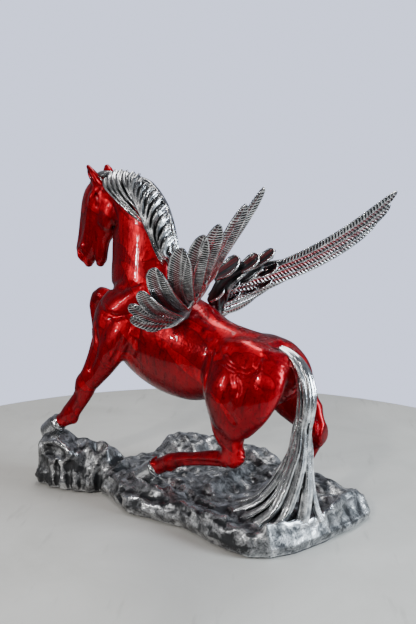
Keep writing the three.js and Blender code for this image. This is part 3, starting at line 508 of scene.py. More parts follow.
class Clay:
    """A block of signed distances in millimetres, negative inside, on an even grid."""

    def __init__(self, low, high, step):
        self.low = np.array(low, float)
        self.step = step
        self.shape = np.ceil((np.array(high) - self.low) / step).astype(int) + 1
        self.field = np.full(self.shape, FAR, np.float32)

    def window(self, low, high):
        first = np.clip(np.floor((np.array(low) - self.low) / self.step).astype(int), 0, self.shape - 1)
        last = np.clip(np.ceil((np.array(high) - self.low) / self.step).astype(int) + 1, 1, self.shape)
        return tuple(slice(a, max(b, a + 1)) for a, b in zip(first, last))

    def points(self, part):
        axes = [self.low[i] + self.step * np.arange(s.start, s.stop) for i, s in enumerate(part)]
        return np.stack(np.meshgrid(*axes, indexing="ij"), -1).reshape(-1, 3)

    def measure(self, run, blend):
        """The window that a run can change, and the distances in it."""
        reach = run[:, 3:5].max(1) + blend + 2 * self.step
        part = self.window((run[:, :3] - reach[:, None]).min(0), (run[:, :3] + reach[:, None]).max(0))
        distance = np.full([s.stop - s.start for s in part], FAR, np.float32)
        for corner in itertools.product(*(range(s.start, s.stop, BLOCK) for s in part)):
            block = tuple(slice(a, min(a + BLOCK, s.stop)) for a, s in zip(corner, part))
            low, high = (self.low + self.step * np.array([getattr(s, end) for s in block])
                         for end in ("start", "stop"))
            outside = np.maximum(np.maximum(low - run[:, :3], run[:, :3] - high), 0)
            touched = np.flatnonzero((outside ** 2).sum(1) < reach ** 2)
            if len(touched):
                piece = run[max(touched[0] - 1, 0):touched[-1] + 2]
                here = tuple(slice(b.start - s.start, b.stop - s.start) for b, s in zip(block, part))
                distance[here] = distance_to(self.points(block), piece).reshape(distance[here].shape)
        return part, distance

    def add(self, stations, blend, across=(0, 1, 0)):
        part, distance = self.measure(sweep(stations, across), blend)
        self.field[part] = soft_min(self.field[part], distance, blend)

    def add_all(self, runs, blend):
        for run in runs:
            self.add(run, blend)

    def carve(self, stations, blend):
        part, distance = self.measure(sweep(stations), blend)
        self.field[part] = -soft_min(-self.field[part], distance, blend)

    def read(self, points):
        """The distance at any points, read between the grid's corners."""
        place = np.clip((points - self.low) / self.step, 0, self.shape - 1.001)
        corner = place.astype(int)
        return between(corner, place - corner, lambda at: self.field[tuple(at.T)])


print("clay block ready")

# %% Skin
HOLLOW_REACH = 2.2
BAND = 3.0                      # cells of the field that are kept on each side of the surface


def give_mask(made, name, values):
    mask = made.data.attributes.new(name, "FLOAT", "POINT")
    mask.data.foreach_set("value", np.ascontiguousarray(values, np.float32))


def dress(made, finish, slot, *nodes):
    """Smooth shading, a finish, a place under the root, and the solids that the piece stands for hidden."""
    made.data.materials.append(finish.material)
    made.data.polygons.foreach_set("use_smooth", np.ones(len(made.data.polygons), bool))
    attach(made, "root")
    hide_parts(*nodes)
    print(made.name, len(made.data.vertices), "points")


def skin_mesh(name, clay, shift=HORSE_Y, hollow_reach=HOLLOW_REACH, wide_reach=0):
    """Wraps the clay in quads, in metres, with its hollow and ridge masks."""
    band = BAND * clay.step
    grid = openvdb.FloatGrid(band)
    grid.copyFromArray(np.clip(clay.field, -band, band))
    corners, quads = grid.convertToQuads(0.0)
    points = corners * clay.step + clay.low
    step = np.eye(3) * clay.step
    normal = unit(np.stack([clay.read(points + s) - clay.read(points - s) for s in step], 1))
    hollow = 1 - clay.read(points + normal * hollow_reach) / hollow_reach
    if wide_reach:
        hollow = np.maximum(hollow, 0.9 - clay.read(points + normal * wide_reach) / wide_reach)
    ridge = 1 + clay.read(points - normal * hollow_reach) / hollow_reach
    made = mesh_object(name, (points + [0, shift, 0]) * MM, quads[:, ::-1])
    give_mask(made, "hollow", np.clip(hollow, 0, 1))
    give_mask(made, "ridge", np.clip(ridge, 0, 1))
    return made


print("skinning ready")

# %% [markdown]
# ## The body
# The body starts from the same runs as the solids: barrel, neck, skull and legs. Muscles are then laid
# on as thinner runs with a small blend, so a faint crease stays between them, as it does on a live
# horse. Left and right halves share one table where they match.

# %% Body masses
BODY_STEP = 1.1
MASS_BLEND = 10
LIMB_BLEND = 7

barrel = [
    [-103, 0, 208, 20, 24], [-92, 0, 206, 28, 38], [-70, 0, 200, 33, 50], [-40, 0, 188, 35, 57],
    [-10, 0, 180, 36, 58], [20, 0, 174, 36, 53.5], [48, 0, 170, 33, 43.5], [75, 0, 167, 33, 40],
    [100, 0, 165, 33, 38], [122, 0, 167, 26, 30], [133, 0, 171, 15, 20],
]
neck = [
    [-60, 0, 222, 23, 42], [-65, 0, 248, 21, 44], [-66, 0, 272, 18, 42.5], [-67, 0, 294, 16, 41],
    [-70, 0, 316, 15, 35.5], [-84, 0, 337, 14, 28.5], [-102, 0, 347, 13, 21.5],
]
skull = [
    [-120, 0, 353, 13, 18], [-130, 0, 336, 15, 26], [-137, 0, 314, 13, 24], [-143, 0, 296, 11, 19],
    [-151, 0, 281, 10.5, 16], [-157, 0, 270, 10, 14],
]
body = Clay((-180, -58, 36), (156, 52, 386), BODY_STEP)
body.add_all((barrel, neck, skull), MASS_BLEND)
print("body block", body.field.size)

# %% Legs
left_foreleg = [
    [-58, -16, 234, 10, 20], [-74, -24, 214, 13, 30], [-83, -28, 192, 14, 32], [-86, -31, 174, 13, 25],
    [-95, -34, 155, 11.5, 18.5], [-104, -37, 142, 10, 15.5], [-114, -39, 130, 10, 13.5],
    [-120, -40.5, 118, 8.5, 12.3], [-127, -41.5, 107, 7, 11.2], [-136, -42.5, 96, 6.8, 11.2],
    [-143, -43.5, 87, 7.6, 11.8], [-151, -44, 80.5, 7.4, 9.6], [-158, -44.6, 76, 7, 8.6],
]
right_foreleg = [
    [-58, 16, 234, 10, 20], [-74, 24, 216, 13, 28], [-90, 26, 206, 13, 22], [-106, 25, 206, 12, 17],
    [-129, 23, 212, 10, 13.4], [-152, 22, 220, 9, 11],
]
right_cannon = [
    [-160, 22, 219, 8.5, 9.6], [-165, 21, 205, 6.8, 9], [-164.5, 21, 188, 5.6, 7.4],
    [-162, 21, 173, 6, 7.8], [-158, 21, 163, 7.4, 9.8], [-154, 21, 155, 6.4, 7.8],
]
left_thigh = [
    [98, -12, 186, 14, 26], [99, -22, 174, 17, 39], [95, -30, 154, 17, 43], [90, -32, 134, 15, 37],
    [86, -32, 119, 12.5, 27], [83, -31, 105, 9.6, 18], [86, -29, 92, 7.6, 12], [88, -28, 80, 7.4, 10],
]
left_cannon = [
    [90, -28, 78, 7, 8.5], [62, -27, 74, 5.8, 7.6], [35, -26, 67, 5.2, 6.8], [15, -26, 62, 5.8, 7.6],
    [2, -26, 56, 7.2, 9.2], [-10, -25, 50, 7, 8.8], [-20, -25, 44.6, 7, 8.6],
]
right_thigh = [
    [98, 12, 184, 14, 24], [103, 22, 172, 17, 34], [106, 30, 155, 16, 32], [113, 33, 136, 13, 25],
    [124, 33, 122, 10.5, 17], [137, 33, 111, 8.6, 11.5], [147, 33, 103, 7.6, 9.6],
]
right_hock = [
    [150, 33, 102, 6.6, 8], [141, 33, 84, 5.4, 6.6], [130, 33, 62, 5.4, 6.6], [123, 33, 52, 7, 8.6],
    [115, 32, 44, 6.2, 7.4],
]
legs = (left_foreleg, right_foreleg, right_cannon, left_thigh, left_cannon, right_thigh, right_hock)
body.add_all(legs, LIMB_BLEND)
print("leg runs:", len(legs))

# %% [markdown]
# Each muscle below lies more than half sunk in the masses, and flows into them, so that only its swell
# shows. The left side carries the most care, since the photograph shows it. The breast and the head are
# mirrored, while each leg bends differently and has its own table.

# %% Muscles
MUSCLE_BLEND = 4.5


def both(runs):
    """The runs on the left side, and their mirror on the right."""
    return runs + [[[x, -y, z, wide, deep] for x, y, z, wide, deep in run] for run in runs]


breast_muscles = both([
    [[-98, -9, 220, 8, 11], [-106, -12, 206, 9, 13], [-107, -13, 192, 9, 13], [-100, -15, 177, 8, 11]],
])
shoulder_muscles = [
    [[-42, -23, 236, 5, 9], [-58, -28, 225, 6, 13], [-75, -31, 214, 7, 14], [-92, -32, 201, 7, 12]],
    [[-52, -30, 204, 6, 12], [-62, -34, 194, 8, 16], [-72, -36, 180, 9, 16], [-84, -37.5, 166, 8, 12],
     [-93, -37.5, 154, 6, 8]],
    [[-97, -30, 192, 7, 10], [-101, -33.5, 176, 7, 10], [-106, -36.5, 160, 7, 8.5],
     [-112, -39.5, 144, 6.4, 7], [-117, -41.5, 133, 5, 5]],
    [[-74, -31, 172, 6, 7], [-85, -36, 158, 6.4, 7.5], [-96, -38, 144, 6, 7], [-106, -39.5, 130, 5, 6]],
]
right_shoulder_muscles = [
    [[-42, 23, 236, 5, 9], [-58, 28, 226, 6, 13], [-76, 30, 217, 7, 14], [-94, 29, 211, 7, 12]],
    [[-64, 32, 208, 7, 14], [-82, 35, 202, 8, 14], [-98, 33, 199, 7, 10], [-116, 29, 203, 6, 8]],
    [[-96, 29, 214, 6, 8], [-114, 29, 214, 6.4, 8], [-132, 26, 217, 5.4, 6]],
]
front_muscles = breast_muscles + shoulder_muscles + right_shoulder_muscles
body.add_all(front_muscles, MUSCLE_BLEND)
print("front muscles:", len(front_muscles))

# %% Hind muscles
HIND_BLEND = 12
left_hind_muscles = [
    [[72, -21, 184, 6, 10], [88, -25, 184, 8, 14], [104, -24, 182, 8, 14], [116, -20, 182, 6, 9]],
    [[72, -24, 182, 5, 9], [76, -31, 170, 7, 13], [79, -36.5, 157, 9, 15], [81, -40, 143, 8, 14],
     [82, -40, 130, 7, 10]],
    [[90, -32, 176, 6, 9], [93, -38.5, 164, 8, 13], [93, -42, 149, 9, 13], [92, -42, 134, 9, 12],
     [89, -40, 120, 8, 10]],
    [[112, -24, 182, 6, 9], [118, -31.5, 170, 8, 12], [118, -36, 155, 9, 14], [114, -38, 140, 9, 12],
     [108, -37, 127, 7.6, 9], [101, -34.5, 114, 6.4, 7.4]],
    [[128, -12, 184, 5, 7], [133, -20, 171, 6.6, 9], [133, -25, 157, 7, 9], [128, -29, 144, 7, 8],
     [121, -32, 131, 6.4, 7], [111, -32, 119, 5, 6]],
    [[99, -34, 118, 7, 9], [95, -34, 106, 6.4, 8], [93, -32, 96, 5, 6]],
]
right_hind_muscles = [
    [[72, 21, 184, 6, 10], [88, 25, 184, 8, 14], [104, 24, 182, 8, 14], [116, 20, 182, 6, 9]],
    [[80, 25, 180, 6, 9], [88, 33, 167, 9, 14], [94, 37, 151, 9, 13], [102, 38, 138, 8, 10],
     [112, 36, 126, 6, 7]],
    [[106, 26, 182, 6, 9], [113, 35, 167, 9, 13], [119, 38, 149, 9, 13], [128, 37, 134, 8, 9],
     [137, 35, 120, 5.6, 6.4]],
    [[128, 12, 184, 5, 7], [134, 21, 171, 6.6, 9], [137, 27, 156, 7, 9], [139, 32, 143, 6.4, 6.6],
     [144, 35, 130, 4.6, 5]],
    [[146, 34, 126, 2.8, 3], [152, 34, 112, 2.8, 3], [154, 33.5, 102, 3.2, 3.6]],
]
hind_muscles = left_hind_muscles + right_hind_muscles
body.add_all(hind_muscles, HIND_BLEND)
print("hind muscles:", len(hind_muscles))

# %% Joints and tendons
JOINT_BLEND = 2.2
knees = [
    [[-113, -40, 137, 7.4, 8], [-121, -41.5, 129, 7.6, 9], [-124, -41.5, 120, 7.2, 8.4]],
    [[-154, 22, 223, 8.6, 9], [-162, 22, 216, 8.4, 9.6], [-166, 21.6, 206, 7.2, 9]],
    [[88, -29, 92, 8, 9], [94, -29, 83, 8, 9], [88, -28.6, 76, 7.4, 7]],
    [[145, 33, 108, 8, 8], [152, 33, 103, 7.4, 7], [148, 33, 95, 7, 7.6]],
]
fetlocks = [
    [[-137, -43, 92, 6.8, 9], [-141, -43.6, 85, 7.2, 10.4], [-135, -43.4, 82, 4.8, 6.4]],
    [[-160, 21, 168, 6.8, 8.4], [-157, 21, 161, 7, 9.4], [-152, 21, 163, 4.8, 6]],
    [[6, -26, 58, 6.6, 8], [-1, -25.6, 54, 7, 8.8], [2, -25.6, 49, 4.6, 5.6]],
    [[125, 33, 55, 6.8, 8], [121, 33, 49, 7, 8.4], [126, 33, 46, 4.6, 5]],
]
tendons = [
    [[-117, -41, 110, 3, 3.2], [-126, -42, 98, 2.8, 3], [-133, -43, 88, 3, 3.2]],
    [[-160, 21.5, 202, 3, 3], [-160, 21, 186, 2.6, 3], [-158, 21, 170, 3, 3.2]],
    [[80, -29, 70.6, 3.2, 2.6], [56, -28, 66.6, 2.8, 2.4], [30, -27, 60.4, 2.8, 2.4], [8, -26.4, 54, 3, 2.6]],
    [[78, -31.6, 77, 3, 2.4], [54, -30.6, 73, 2.6, 2.2], [28, -30, 67, 2.6, 2.2], [8, -29, 60, 3, 2.4]],
    [[150, 33, 92, 3, 3], [142, 33, 76, 2.6, 2.8], [133, 33, 56, 3, 3]],
]
coronets = [
    [[-157, 27, 153, 3, 2.6], [-159, 21, 154, 3.4, 3], [-157, 15, 153, 3, 2.6]],
    [[-22, -31, 49, 3, 2.6], [-24, -25, 51.4, 3.4, 3], [-22, -19, 49, 3, 2.6]],
    [[110, 38, 46, 3, 2.6], [109, 32, 48, 3.4, 3], [110, 26, 46, 3, 2.6]],
]
body.add_all(knees + fetlocks + tendons + coronets, JOINT_BLEND)
print("joints:", len(knees + fetlocks), "tendons:", len(tendons))

# %% [markdown]
# The head is small, so its features are few and clear: a round cheek, a ridge from the eye down the
# face, a flared nostril, parted lips and two ears, of which the left is hollow in front.

# %% Head
HEAD_BLEND = 2.6
CHEEK_BLEND = 6
EAR_BLEND = 2.0
head_parts = both([
    [[-124, -10, 347, 4.5, 5], [-129, -13, 340, 4.6, 4.6], [-133, -12.6, 332, 3, 3.4]],
    [[-136, -10.6, 328, 3, 3], [-143, -9, 308, 3, 3], [-150, -7, 292, 2.8, 3]],
    [[-153, -7, 284, 4, 5], [-157, -8, 277, 4, 5], [-159, -7, 271, 3.6, 4]],
])
face_parts = [
    [[-131, 0, 350, 10, 10], [-146, 0, 334, 9.8, 10], [-154, 0, 314, 8.6, 9], [-159.6, 0, 296, 7.2, 7.6],
     [-165, 0, 279, 6.8, 6.8]],
    [[-148, 0, 276, 8.4, 8], [-153, 0, 266, 6.6, 5.6], [-153, 0, 260, 4.8, 3.8]],
    [[-117, 0, 306, 9, 12], [-127, 0, 292, 8, 10], [-130.5, 0, 279, 7.6, 9], [-131.5, 0, 268, 7, 7.6],
     [-133, 0, 262.4, 5, 5]],
]
body.add_all(head_parts + face_parts, HEAD_BLEND)
cheeks = both([[[-106, -7, 329, 6, 10], [-110, -7.6, 320, 6.6, 12.5], [-115, -7.4, 310, 6, 11]]])
body.add_all(cheeks, CHEEK_BLEND)
ears = [
    [[-120, -9, 350, 4.6, 7], [-125, -11, 359, 5, 6.8], [-131, -12.4, 367, 4.4, 5.6],
     [-136.4, -13, 375, 2, 2.4]],
    [[-121, 9, 354, 5, 7], [-126, 11, 362, 5.4, 7.8], [-130.4, 12.4, 370.6, 5, 6.6],
     [-132.6, 13, 375.4, 3, 3.6]],
]
body.add_all(ears, EAR_BLEND)
print("head parts:", len(head_parts + face_parts + ears))

# %% Find the skin
PROBE = 0.5                     # spacing of the points that look for a skin
BODY_REACH = 58


def skin_reach(clays, x, z, side, limit):
    """How far out from the mid-plane the outermost of the clays lies at each (x, z), on one side."""
    steps = np.arange(0, limit + PROBE, PROBE)
    count = len(steps)
    points = np.stack([np.repeat(x, count), side * np.tile(steps, len(x)), np.repeat(z, count)], 1)
    inside = np.min([clay.read(points) for clay in clays], axis=0).reshape(-1, count) < 0
    return steps[np.where(inside.any(1), count - 1 - inside[:, ::-1].argmax(1), 0)]


def resample(knots, count):
    """Rows of numbers spread evenly along a short table of them."""
    knots = np.array(knots, float)
    places = np.linspace(0, len(knots) - 1, count)
    return np.stack([np.interp(places, np.arange(len(knots)), column) for column in knots.T], 1)


print("half width of the barrel:", skin_reach([body], np.zeros(1), np.full(1, 180.0), -1, BODY_REACH))

# %% Folds of skin
# Each fold as points (x, z, depth) on the left side. The body's own distance field says how far out the
# skin is there, so a fold is always pressed in by its depth.
FOLD_RADIUS = 3.2
FOLD_BLEND = 3.0
left_folds = [
    [(-100, 222, 0.0), (-84, 213, 1.0), (-68, 209, 1.0), (-52, 213, 0.0)],
    [(-98, 192, 0.0), (-93, 178, 1.0), (-95, 164, 1.0), (-103, 148, 0.0)],
    [(-48, 200, 0.0), (-54, 184, 1.4), (-62, 170, 1.4), (-72, 158, 0.4)],
    [(62, 192, 0.0), (64, 180, 0.8), (66, 165, 1.0), (64, 150, 0.8), (58, 138, 0.0)],
    [(104, 170, 0.0), (109, 158, 0.7), (106, 144, 0.8), (102, 133, 0.5), (106, 124, 0.0)],
    [(64, 196, 0.0), (78, 184, 0.8), (96, 177, 1.2), (113, 172, 1.2), (124, 178, 0.8), (123, 190, 0.0)],
    [(-112, 236, 0.0), (-98, 240, 0.8), (-82, 240, 0.8), (-66, 240, 0.0)],
    [(-117, 222, 0.0), (-112, 205, 0.8), (-108, 190, 0.8), (-106, 176, 0.0)],
    [(-40, 222, 0.0), (-36, 204, 0.9), (-38, 186, 0.9), (-46, 168, 0.0)],
]
right_folds = [left_folds[0], left_folds[5]]


def press_fold(fold, side):
    x, z, depth = resample(fold, 4 * len(fold)).T
    out = skin_reach([body], x, z, side, BODY_REACH) + FOLD_RADIUS - depth
    size = np.full(len(x), FOLD_RADIUS)
    body.carve(np.stack([x, side * out, z, size, size], 1), FOLD_BLEND)


for side, folds in ((-1, left_folds), (1, right_folds)):
    for fold in folds:
        press_fold(fold, side)
print("folds:", len(left_folds) + len(right_folds))

# %% Grooves of the face
GROOVE_BLEND = 2.2
EYE_BLEND = 0.6
face_grooves = both([
    [[-96, -12.6, 330, 0.6, 1.2], [-91, -13, 314, 1.2, 1.8], [-99, -11.6, 301, 1.2, 1.8],
     [-111, -9, 294, 0.6, 1.2]],
    [[-124, -13, 345, 0.6, 1.4], [-121, -14.6, 338, 1, 1.8], [-122, -14, 330, 0.8, 1.4]],
    [[-158, -9.6, 281, 0.8, 1.2], [-156, -11, 277, 1.6, 2.2], [-153, -10.4, 274, 0.8, 1.2]],
])
mouth = [[-140, -12, 273, 0.7, 1.4], [-143.4, -8, 266, 1.8, 3], [-143.4, 0, 261.4, 2.4, 5],
         [-143.4, 8, 266, 1.8, 3], [-140, 12, 273, 0.7, 1.4]]
ear_hollow = [[-128.6, -15.4, 359, 1.4, 1.8], [-132, -15.6, 366, 1.4, 1.8], [-136, -14.6, 372, 0.6, 0.8]]
for run in face_grooves + [mouth, ear_hollow]:
    body.carve(run, GROOVE_BLEND)
eyes = both([[[-128.6, -14.4, 338, 1.8, 2], [-130, -14.6, 335.6, 1.9, 2.1]]])
body.add_all(eyes, EYE_BLEND)
print("grooves:", len(face_grooves))

# %% Skin the body
horse = skin_mesh("lacquered_horse", body)
dress(horse, lacquer, "red_lacquer", "torso", "neck_and_head", "left_foreleg", "right_foreleg",
      "left_hind_leg", "right_hind_leg")

# %% [markdown]
# ## Hooves
# Each hoof is a small silver casting on the end of a lacquered leg: a cone that widens to the ground,
# with a rolled rim where it meets the lacquer.

# %% Hooves
hoof_runs = {
    "left_fore_hoof": [[-157, -44.6, 77, 6.6, 8], [-162, -45, 73.6, 8.2, 9.8], [-170, -45.2, 68, 9.4, 11.4],
                       [-180, -46, 58.8, 10.4, 12.2]],
    "right_fore_hoof": [[-153, 21, 154, 7, 8], [-152, 21, 149, 8.2, 9.2], [-149.6, 21, 141, 9, 10],
                        [-147, 21, 133, 9.8, 10.8]],
    "left_hind_hoof": [[-18, -25, 45.6, 6.6, 8], [-23, -25, 43, 8.2, 9.6], [-31, -25, 37.4, 9.2, 11],
                       [-42, -25, 28, 10.4, 12.4]],
    "right_hind_hoof": [[114, 32, 44, 7, 8], [109, 32, 40, 8.2, 9.4], [101, 32, 34.5, 9, 10.4],
                        [90, 32, 25, 10.5, 12.5]],
}
HOOF_STEP = 0.8
HOOF_ROOM = 18
RIM_RADIUS = 1.3
RIM_BLEND = 1.2
RIM_STATIONS = 13


def hoof_piece(name, run):
    """A hoof's cone, with a rim rolled round its second station."""
    centres = np.array(run)[:, :3]
    clay = Clay(centres.min(0) - HOOF_ROOM, centres.max(0) + HOOF_ROOM, HOOF_STEP)
    clay.add(run, 1)
    wide, deep = run[1][3:]
    ahead = unit(centres[2] - centres[1])
    up = np.cross(ahead, (0, 1, 0))
    angles = np.linspace(0, 2 * np.pi, RIM_STATIONS)
    loop = centres[1] + wide * np.outer(np.cos(angles), (0, 1, 0)) + deep * np.outer(np.sin(angles), up)
    size = np.full(RIM_STATIONS, RIM_RADIUS)
    clay.add(np.column_stack([loop, size, size]), RIM_BLEND, across=ahead)
    made = skin_mesh(name + "_silver", clay)
    dress(made, hoof_silver, "antique_silver", name)


for name, run in hoof_runs.items():
    hoof_piece(name, run)

# %% [markdown]
# ## Mane
# Every lock starts on the crest and lies down on the neck, so the body's distance field is asked where
# the skin is. The locks draw together in groups, each group into one point at the hairline, which is
# what gives a carved mane its row of flames. A lock is one thick strand with a finer one on each side,
# and the gaps between locks stay deep, so that the black settles there.

# %% Crest of the mane
MANE_STEP = 0.7
MANE_BOX = ((-132, -34, 244), (2, 30, 378))
CREST_REACH = 30
crest = [
    [-113, 0, 361, 4.6, 5], [-92, -1, 361, 5, 7], [-66, -1, 353, 5.4, 8], [-46, -2, 338, 5.6, 9],
    [-34, -3, 318, 5.6, 9.5], [-26, -4, 298, 5.4, 8.5], [-20, -5, 280, 4.6, 7],
]
crest_edge = [
    [-120, 0, 365, 1.4, 1.4], [-106, 0, 367.6, 2, 2], [-92, 0, 367.2, 2.2, 2.2], [-70, 0, 361.6, 2.2, 2.2],
    [-53, 0, 356, 2.2, 2.2], [-44.6, 0, 350, 2.2, 2.2], [-37.4, 0, 343.4, 2.2, 2.2],
    [-27.6, 0, 331, 2.2, 2.2], [-21.5, 0, 318, 2.2, 2.2], [-17.4, 0, 306, 2.2, 2.2],
    [-12.4, 0, 288.6, 1.8, 1.8], [-11, 0, 278, 1, 1],
]
mane = Clay(*MANE_BOX, MANE_STEP)
mane.add(crest, 1)
for shift in (0, 2.4):
    mane.add(np.add(crest_edge, (0, shift, 0, -0.4, -0.4)), 0.4)
crest_clay = Clay(*MANE_BOX, MANE_STEP)
crest_clay.field[:] = mane.field
print("crest block", mane.field.size)

# %% Locks of the mane
# Each lock as points (x, z) from the crest to the hairline
near_locks = [
    [(-118, 366), (-106, 354), (-89, 340), (-70, 325), (-50, 312)],
    [(-113, 370), (-99, 354), (-81, 339), (-64, 324), (-48, 312)],
    [(-105, 371), (-93, 356), (-76, 340), (-60, 325), (-47, 313)],
    [(-95, 371), (-85, 357), (-72, 342), (-57, 328), (-47, 315)],
    [(-86, 370), (-78, 358), (-67, 344), (-54, 329), (-46, 316)],
    [(-76, 368), (-72, 357), (-62, 344), (-52, 331), (-45, 318)],
    [(-67, 366), (-66, 354), (-59, 338), (-50, 323), (-40, 302), (-35, 285)],
    [(-60, 361), (-60, 349), (-56, 334), (-48, 318), (-40, 300), (-34, 286)],
    [(-52, 356), (-55, 345), (-52, 330), (-46, 315), (-38, 298), (-34, 287)],
    [(-45, 351), (-49, 339), (-48, 324), (-43, 309), (-37, 296), (-33, 288)],
    [(-37, 346), (-42, 335), (-44, 320), (-40, 304), (-33, 284), (-25, 267)],
    [(-31, 340), (-37, 328), (-40, 314), (-36, 299), (-31, 282), (-25, 268)],
    [(-25.5, 332), (-31, 320), (-35, 306), (-32, 292), (-28, 279), (-24, 269)],
    [(-21, 322), (-25, 311), (-28, 297), (-26, 283), (-21, 266)],
    [(-17.5, 311), (-21, 301), (-24, 289), (-21, 276), (-18, 264)],
    [(-14.5, 301), (-17, 292), (-19, 281), (-17, 271), (-15, 262)],
    [(-11.5, 290), (-12, 283), (-13, 274), (-13, 264)],
]
far_locks = [
    [(-114, 368), (-100, 358), (-90, 346), (-82, 330)], [(-104, 371), (-94, 361), (-85, 348), (-80, 330)],
    [(-93, 371), (-85, 361), (-80, 348), (-77, 332)], [(-81, 369), (-74, 356), (-68, 340), (-62, 318)],
    [(-71, 366), (-68, 354), (-64, 338), (-60, 318)], [(-61, 362), (-60, 350), (-58, 334), (-58, 316)],
    [(-52, 356), (-51, 342), (-48, 324), (-46, 302)], [(-44, 349), (-46, 336), (-45, 320), (-45, 300)],
    [(-37, 342), (-40, 328), (-42, 312), (-43, 296)], [(-30, 332), (-34, 319), (-37, 304), (-39, 286)],
    [(-23, 320), (-26, 309), (-29, 296), (-33, 278)], [(-18, 306), (-20, 297), (-23, 286), (-28, 270)],
]
print("locks on each side:", len(near_locks), len(far_locks))

# %% Lay the locks
SPREAD = 2.3
CREST_SHARE = 0.15              # share of a lock that rises from the crest's edge
LOCK_STATIONS = 13
LOCK_BLEND = 0.5


def lay_lock(path, side, thick, k):
    """One thick strand and two finer ones along a path over the neck, drawn to a point at its end."""
    t = np.linspace(0, 1, LOCK_STATIONS)
    middle = resample(path, LOCK_STATIONS)
    middle[1:-1] = (middle[:-2] + 2 * middle[1:-1] + middle[2:]) / 4
    ahead = np.gradient(middle, axis=0)
    beside = unit(ahead[:, ::-1] * (1, -1))
    for offset, share in ((-1, 0.5), (1, 0.5), (0, 1.0)):
        sway = offset * SPREAD * (1 - t) ** 0.6 + 0.5 * np.sin(7 * t + 2 * k + offset)
        x, z = (middle + beside * sway[:, None]).T
        reach = skin_reach([body, crest_clay], x, z, side, CREST_REACH)
        swell = thick * share * (0.32 + 0.78 * np.sin(np.pi * t ** 0.7)) * (1 - 0.75 * t ** 4)
        lift = (0.75 * share + 0.15) * thick * np.sin(np.pi * np.clip(t * 0.85 + 0.12, 0, 1))
        out = reach + lift * np.clip(t / CREST_SHARE, 0, 1)
        mane.add(np.stack([x, side * out, z, swell * 1.1, swell * 0.8], 1), LOCK_BLEND)


for locks, shift, side, thick in ((near_locks, (0.6, 0.6), -1, 2.9), (far_locks, (4, 3), 1, 3.0)):
    for k, path in enumerate(locks):
        lay_lock(np.subtract(path, shift), side, thick, k)
mane_piece = skin_mesh("mane_strands", mane, hollow_reach=2.4)
dress(mane_piece, hair_silver, "antique_silver", "mane")

# %% Forelock
FORELOCK_BLEND = 0.6
forelock = Clay((-158, -18, 336), (-112, 16, 380), MANE_STEP)
forelock_runs = [
    [[-116, -6, 365, 3, 3], [-127, -8, 362, 2.6, 2.4], [-136, -8, 356, 2, 1.8], [-142, -8, 348, 0.8, 0.8]],
    [[-116, -3, 366, 3, 3], [-128, -4, 365, 3, 2.6], [-138, -5, 359, 2.2, 2], [-145, -5, 350, 0.8, 0.8]],
    [[-116, 0, 367, 3, 3], [-129, 0, 367, 3, 2.6], [-140, -1, 361, 2.4, 2.2], [-148, -1, 350, 0.8, 0.8]],
    [[-116, 3, 366, 3, 3], [-128, 4, 365, 3, 2.6], [-138, 4, 359, 2.2, 2], [-144, 5, 349, 0.8, 0.8]],
]
forelock.add_all(forelock_runs, FORELOCK_BLEND)
forelock_piece = skin_mesh("forelock_strands", forelock, hollow_reach=1.8)
dress(forelock_piece, hair_silver, "antique_silver", "forelock")

# %% [markdown]
# ## Tail
# The tail leaves the croup, falls in one heavy rope and parts into a few thick strands that stand on the
# rock. Each strand keeps its own place round the rope, turns slowly on the way down, and carries finer
# hairs all round. Gaps between strands stay deep enough for the black to settle in.

# %% Tail rope
TAIL_STEP = 0.8
TAIL_FAN = (0.9, 0.43, 0)       # the direction that the strands fan out in
tail_core = [
    [124, 0, 190, 5, 5], [141, -1, 183, 7, 7], [153, -3, 170, 9, 8], [159, -5, 152, 10, 9],
    [158, -6, 130, 9.5, 9], [152, -7, 108, 10.5, 9], [148, -8, 88, 12, 9], [143, -10, 66, 14, 8],
]
tail = Clay((70, -54, 18), (186, 36, 204), TAIL_STEP)
core = sweep(tail_core, TAIL_FAN)
tail.add([[x, y, z, wide * 0.5, deep * 0.5] for x, y, z, wide, deep in tail_core], 1, TAIL_FAN)
print("rope samples:", len(core))

# %% Tail strands
# Each strand as its place round the rope in half turns, its foot (x, y) and its half width there
strands = [
    (1.0, 82, -12, 4), (0.84, 98, -26, 5.4), (0.69, 112, -36, 4), (0.53, 128, -36, 5.8), (0.35, 146, -29, 5),
    (0.17, 160, -12, 6), (0.0, 168, 6, 4), (-0.25, 150, 6, 5), (-0.5, 126, 4, 5), (-0.75, 104, -2, 5),
]
# Below the rope: share of the way out to the foot, height, and how much the strand has swelled
fan_levels = [[0.07, 96, 0.72], [0.19, 77, 0.84], [0.38, 56, 0.96], [0.66, 38, 1.0], [1.06, 25, 1.1]]
HAIR_TURNS = np.radians([20, 92, 164, 236, 308])
TAIL_TURN = 0.35                # how far the strands turn round the rope, in radians
ROPE_END = 112                  # the height at which they leave it
RING = 0.74                     # where strands lie in the rope, and hairs in a strand
HAIR_SIZE = 0.36                # a hair's size as a share of its strand's
STRAND_BLEND = 0.3
print("strands:", len(strands), "with hairs:", len(HAIR_TURNS))

# %% Lay the strands


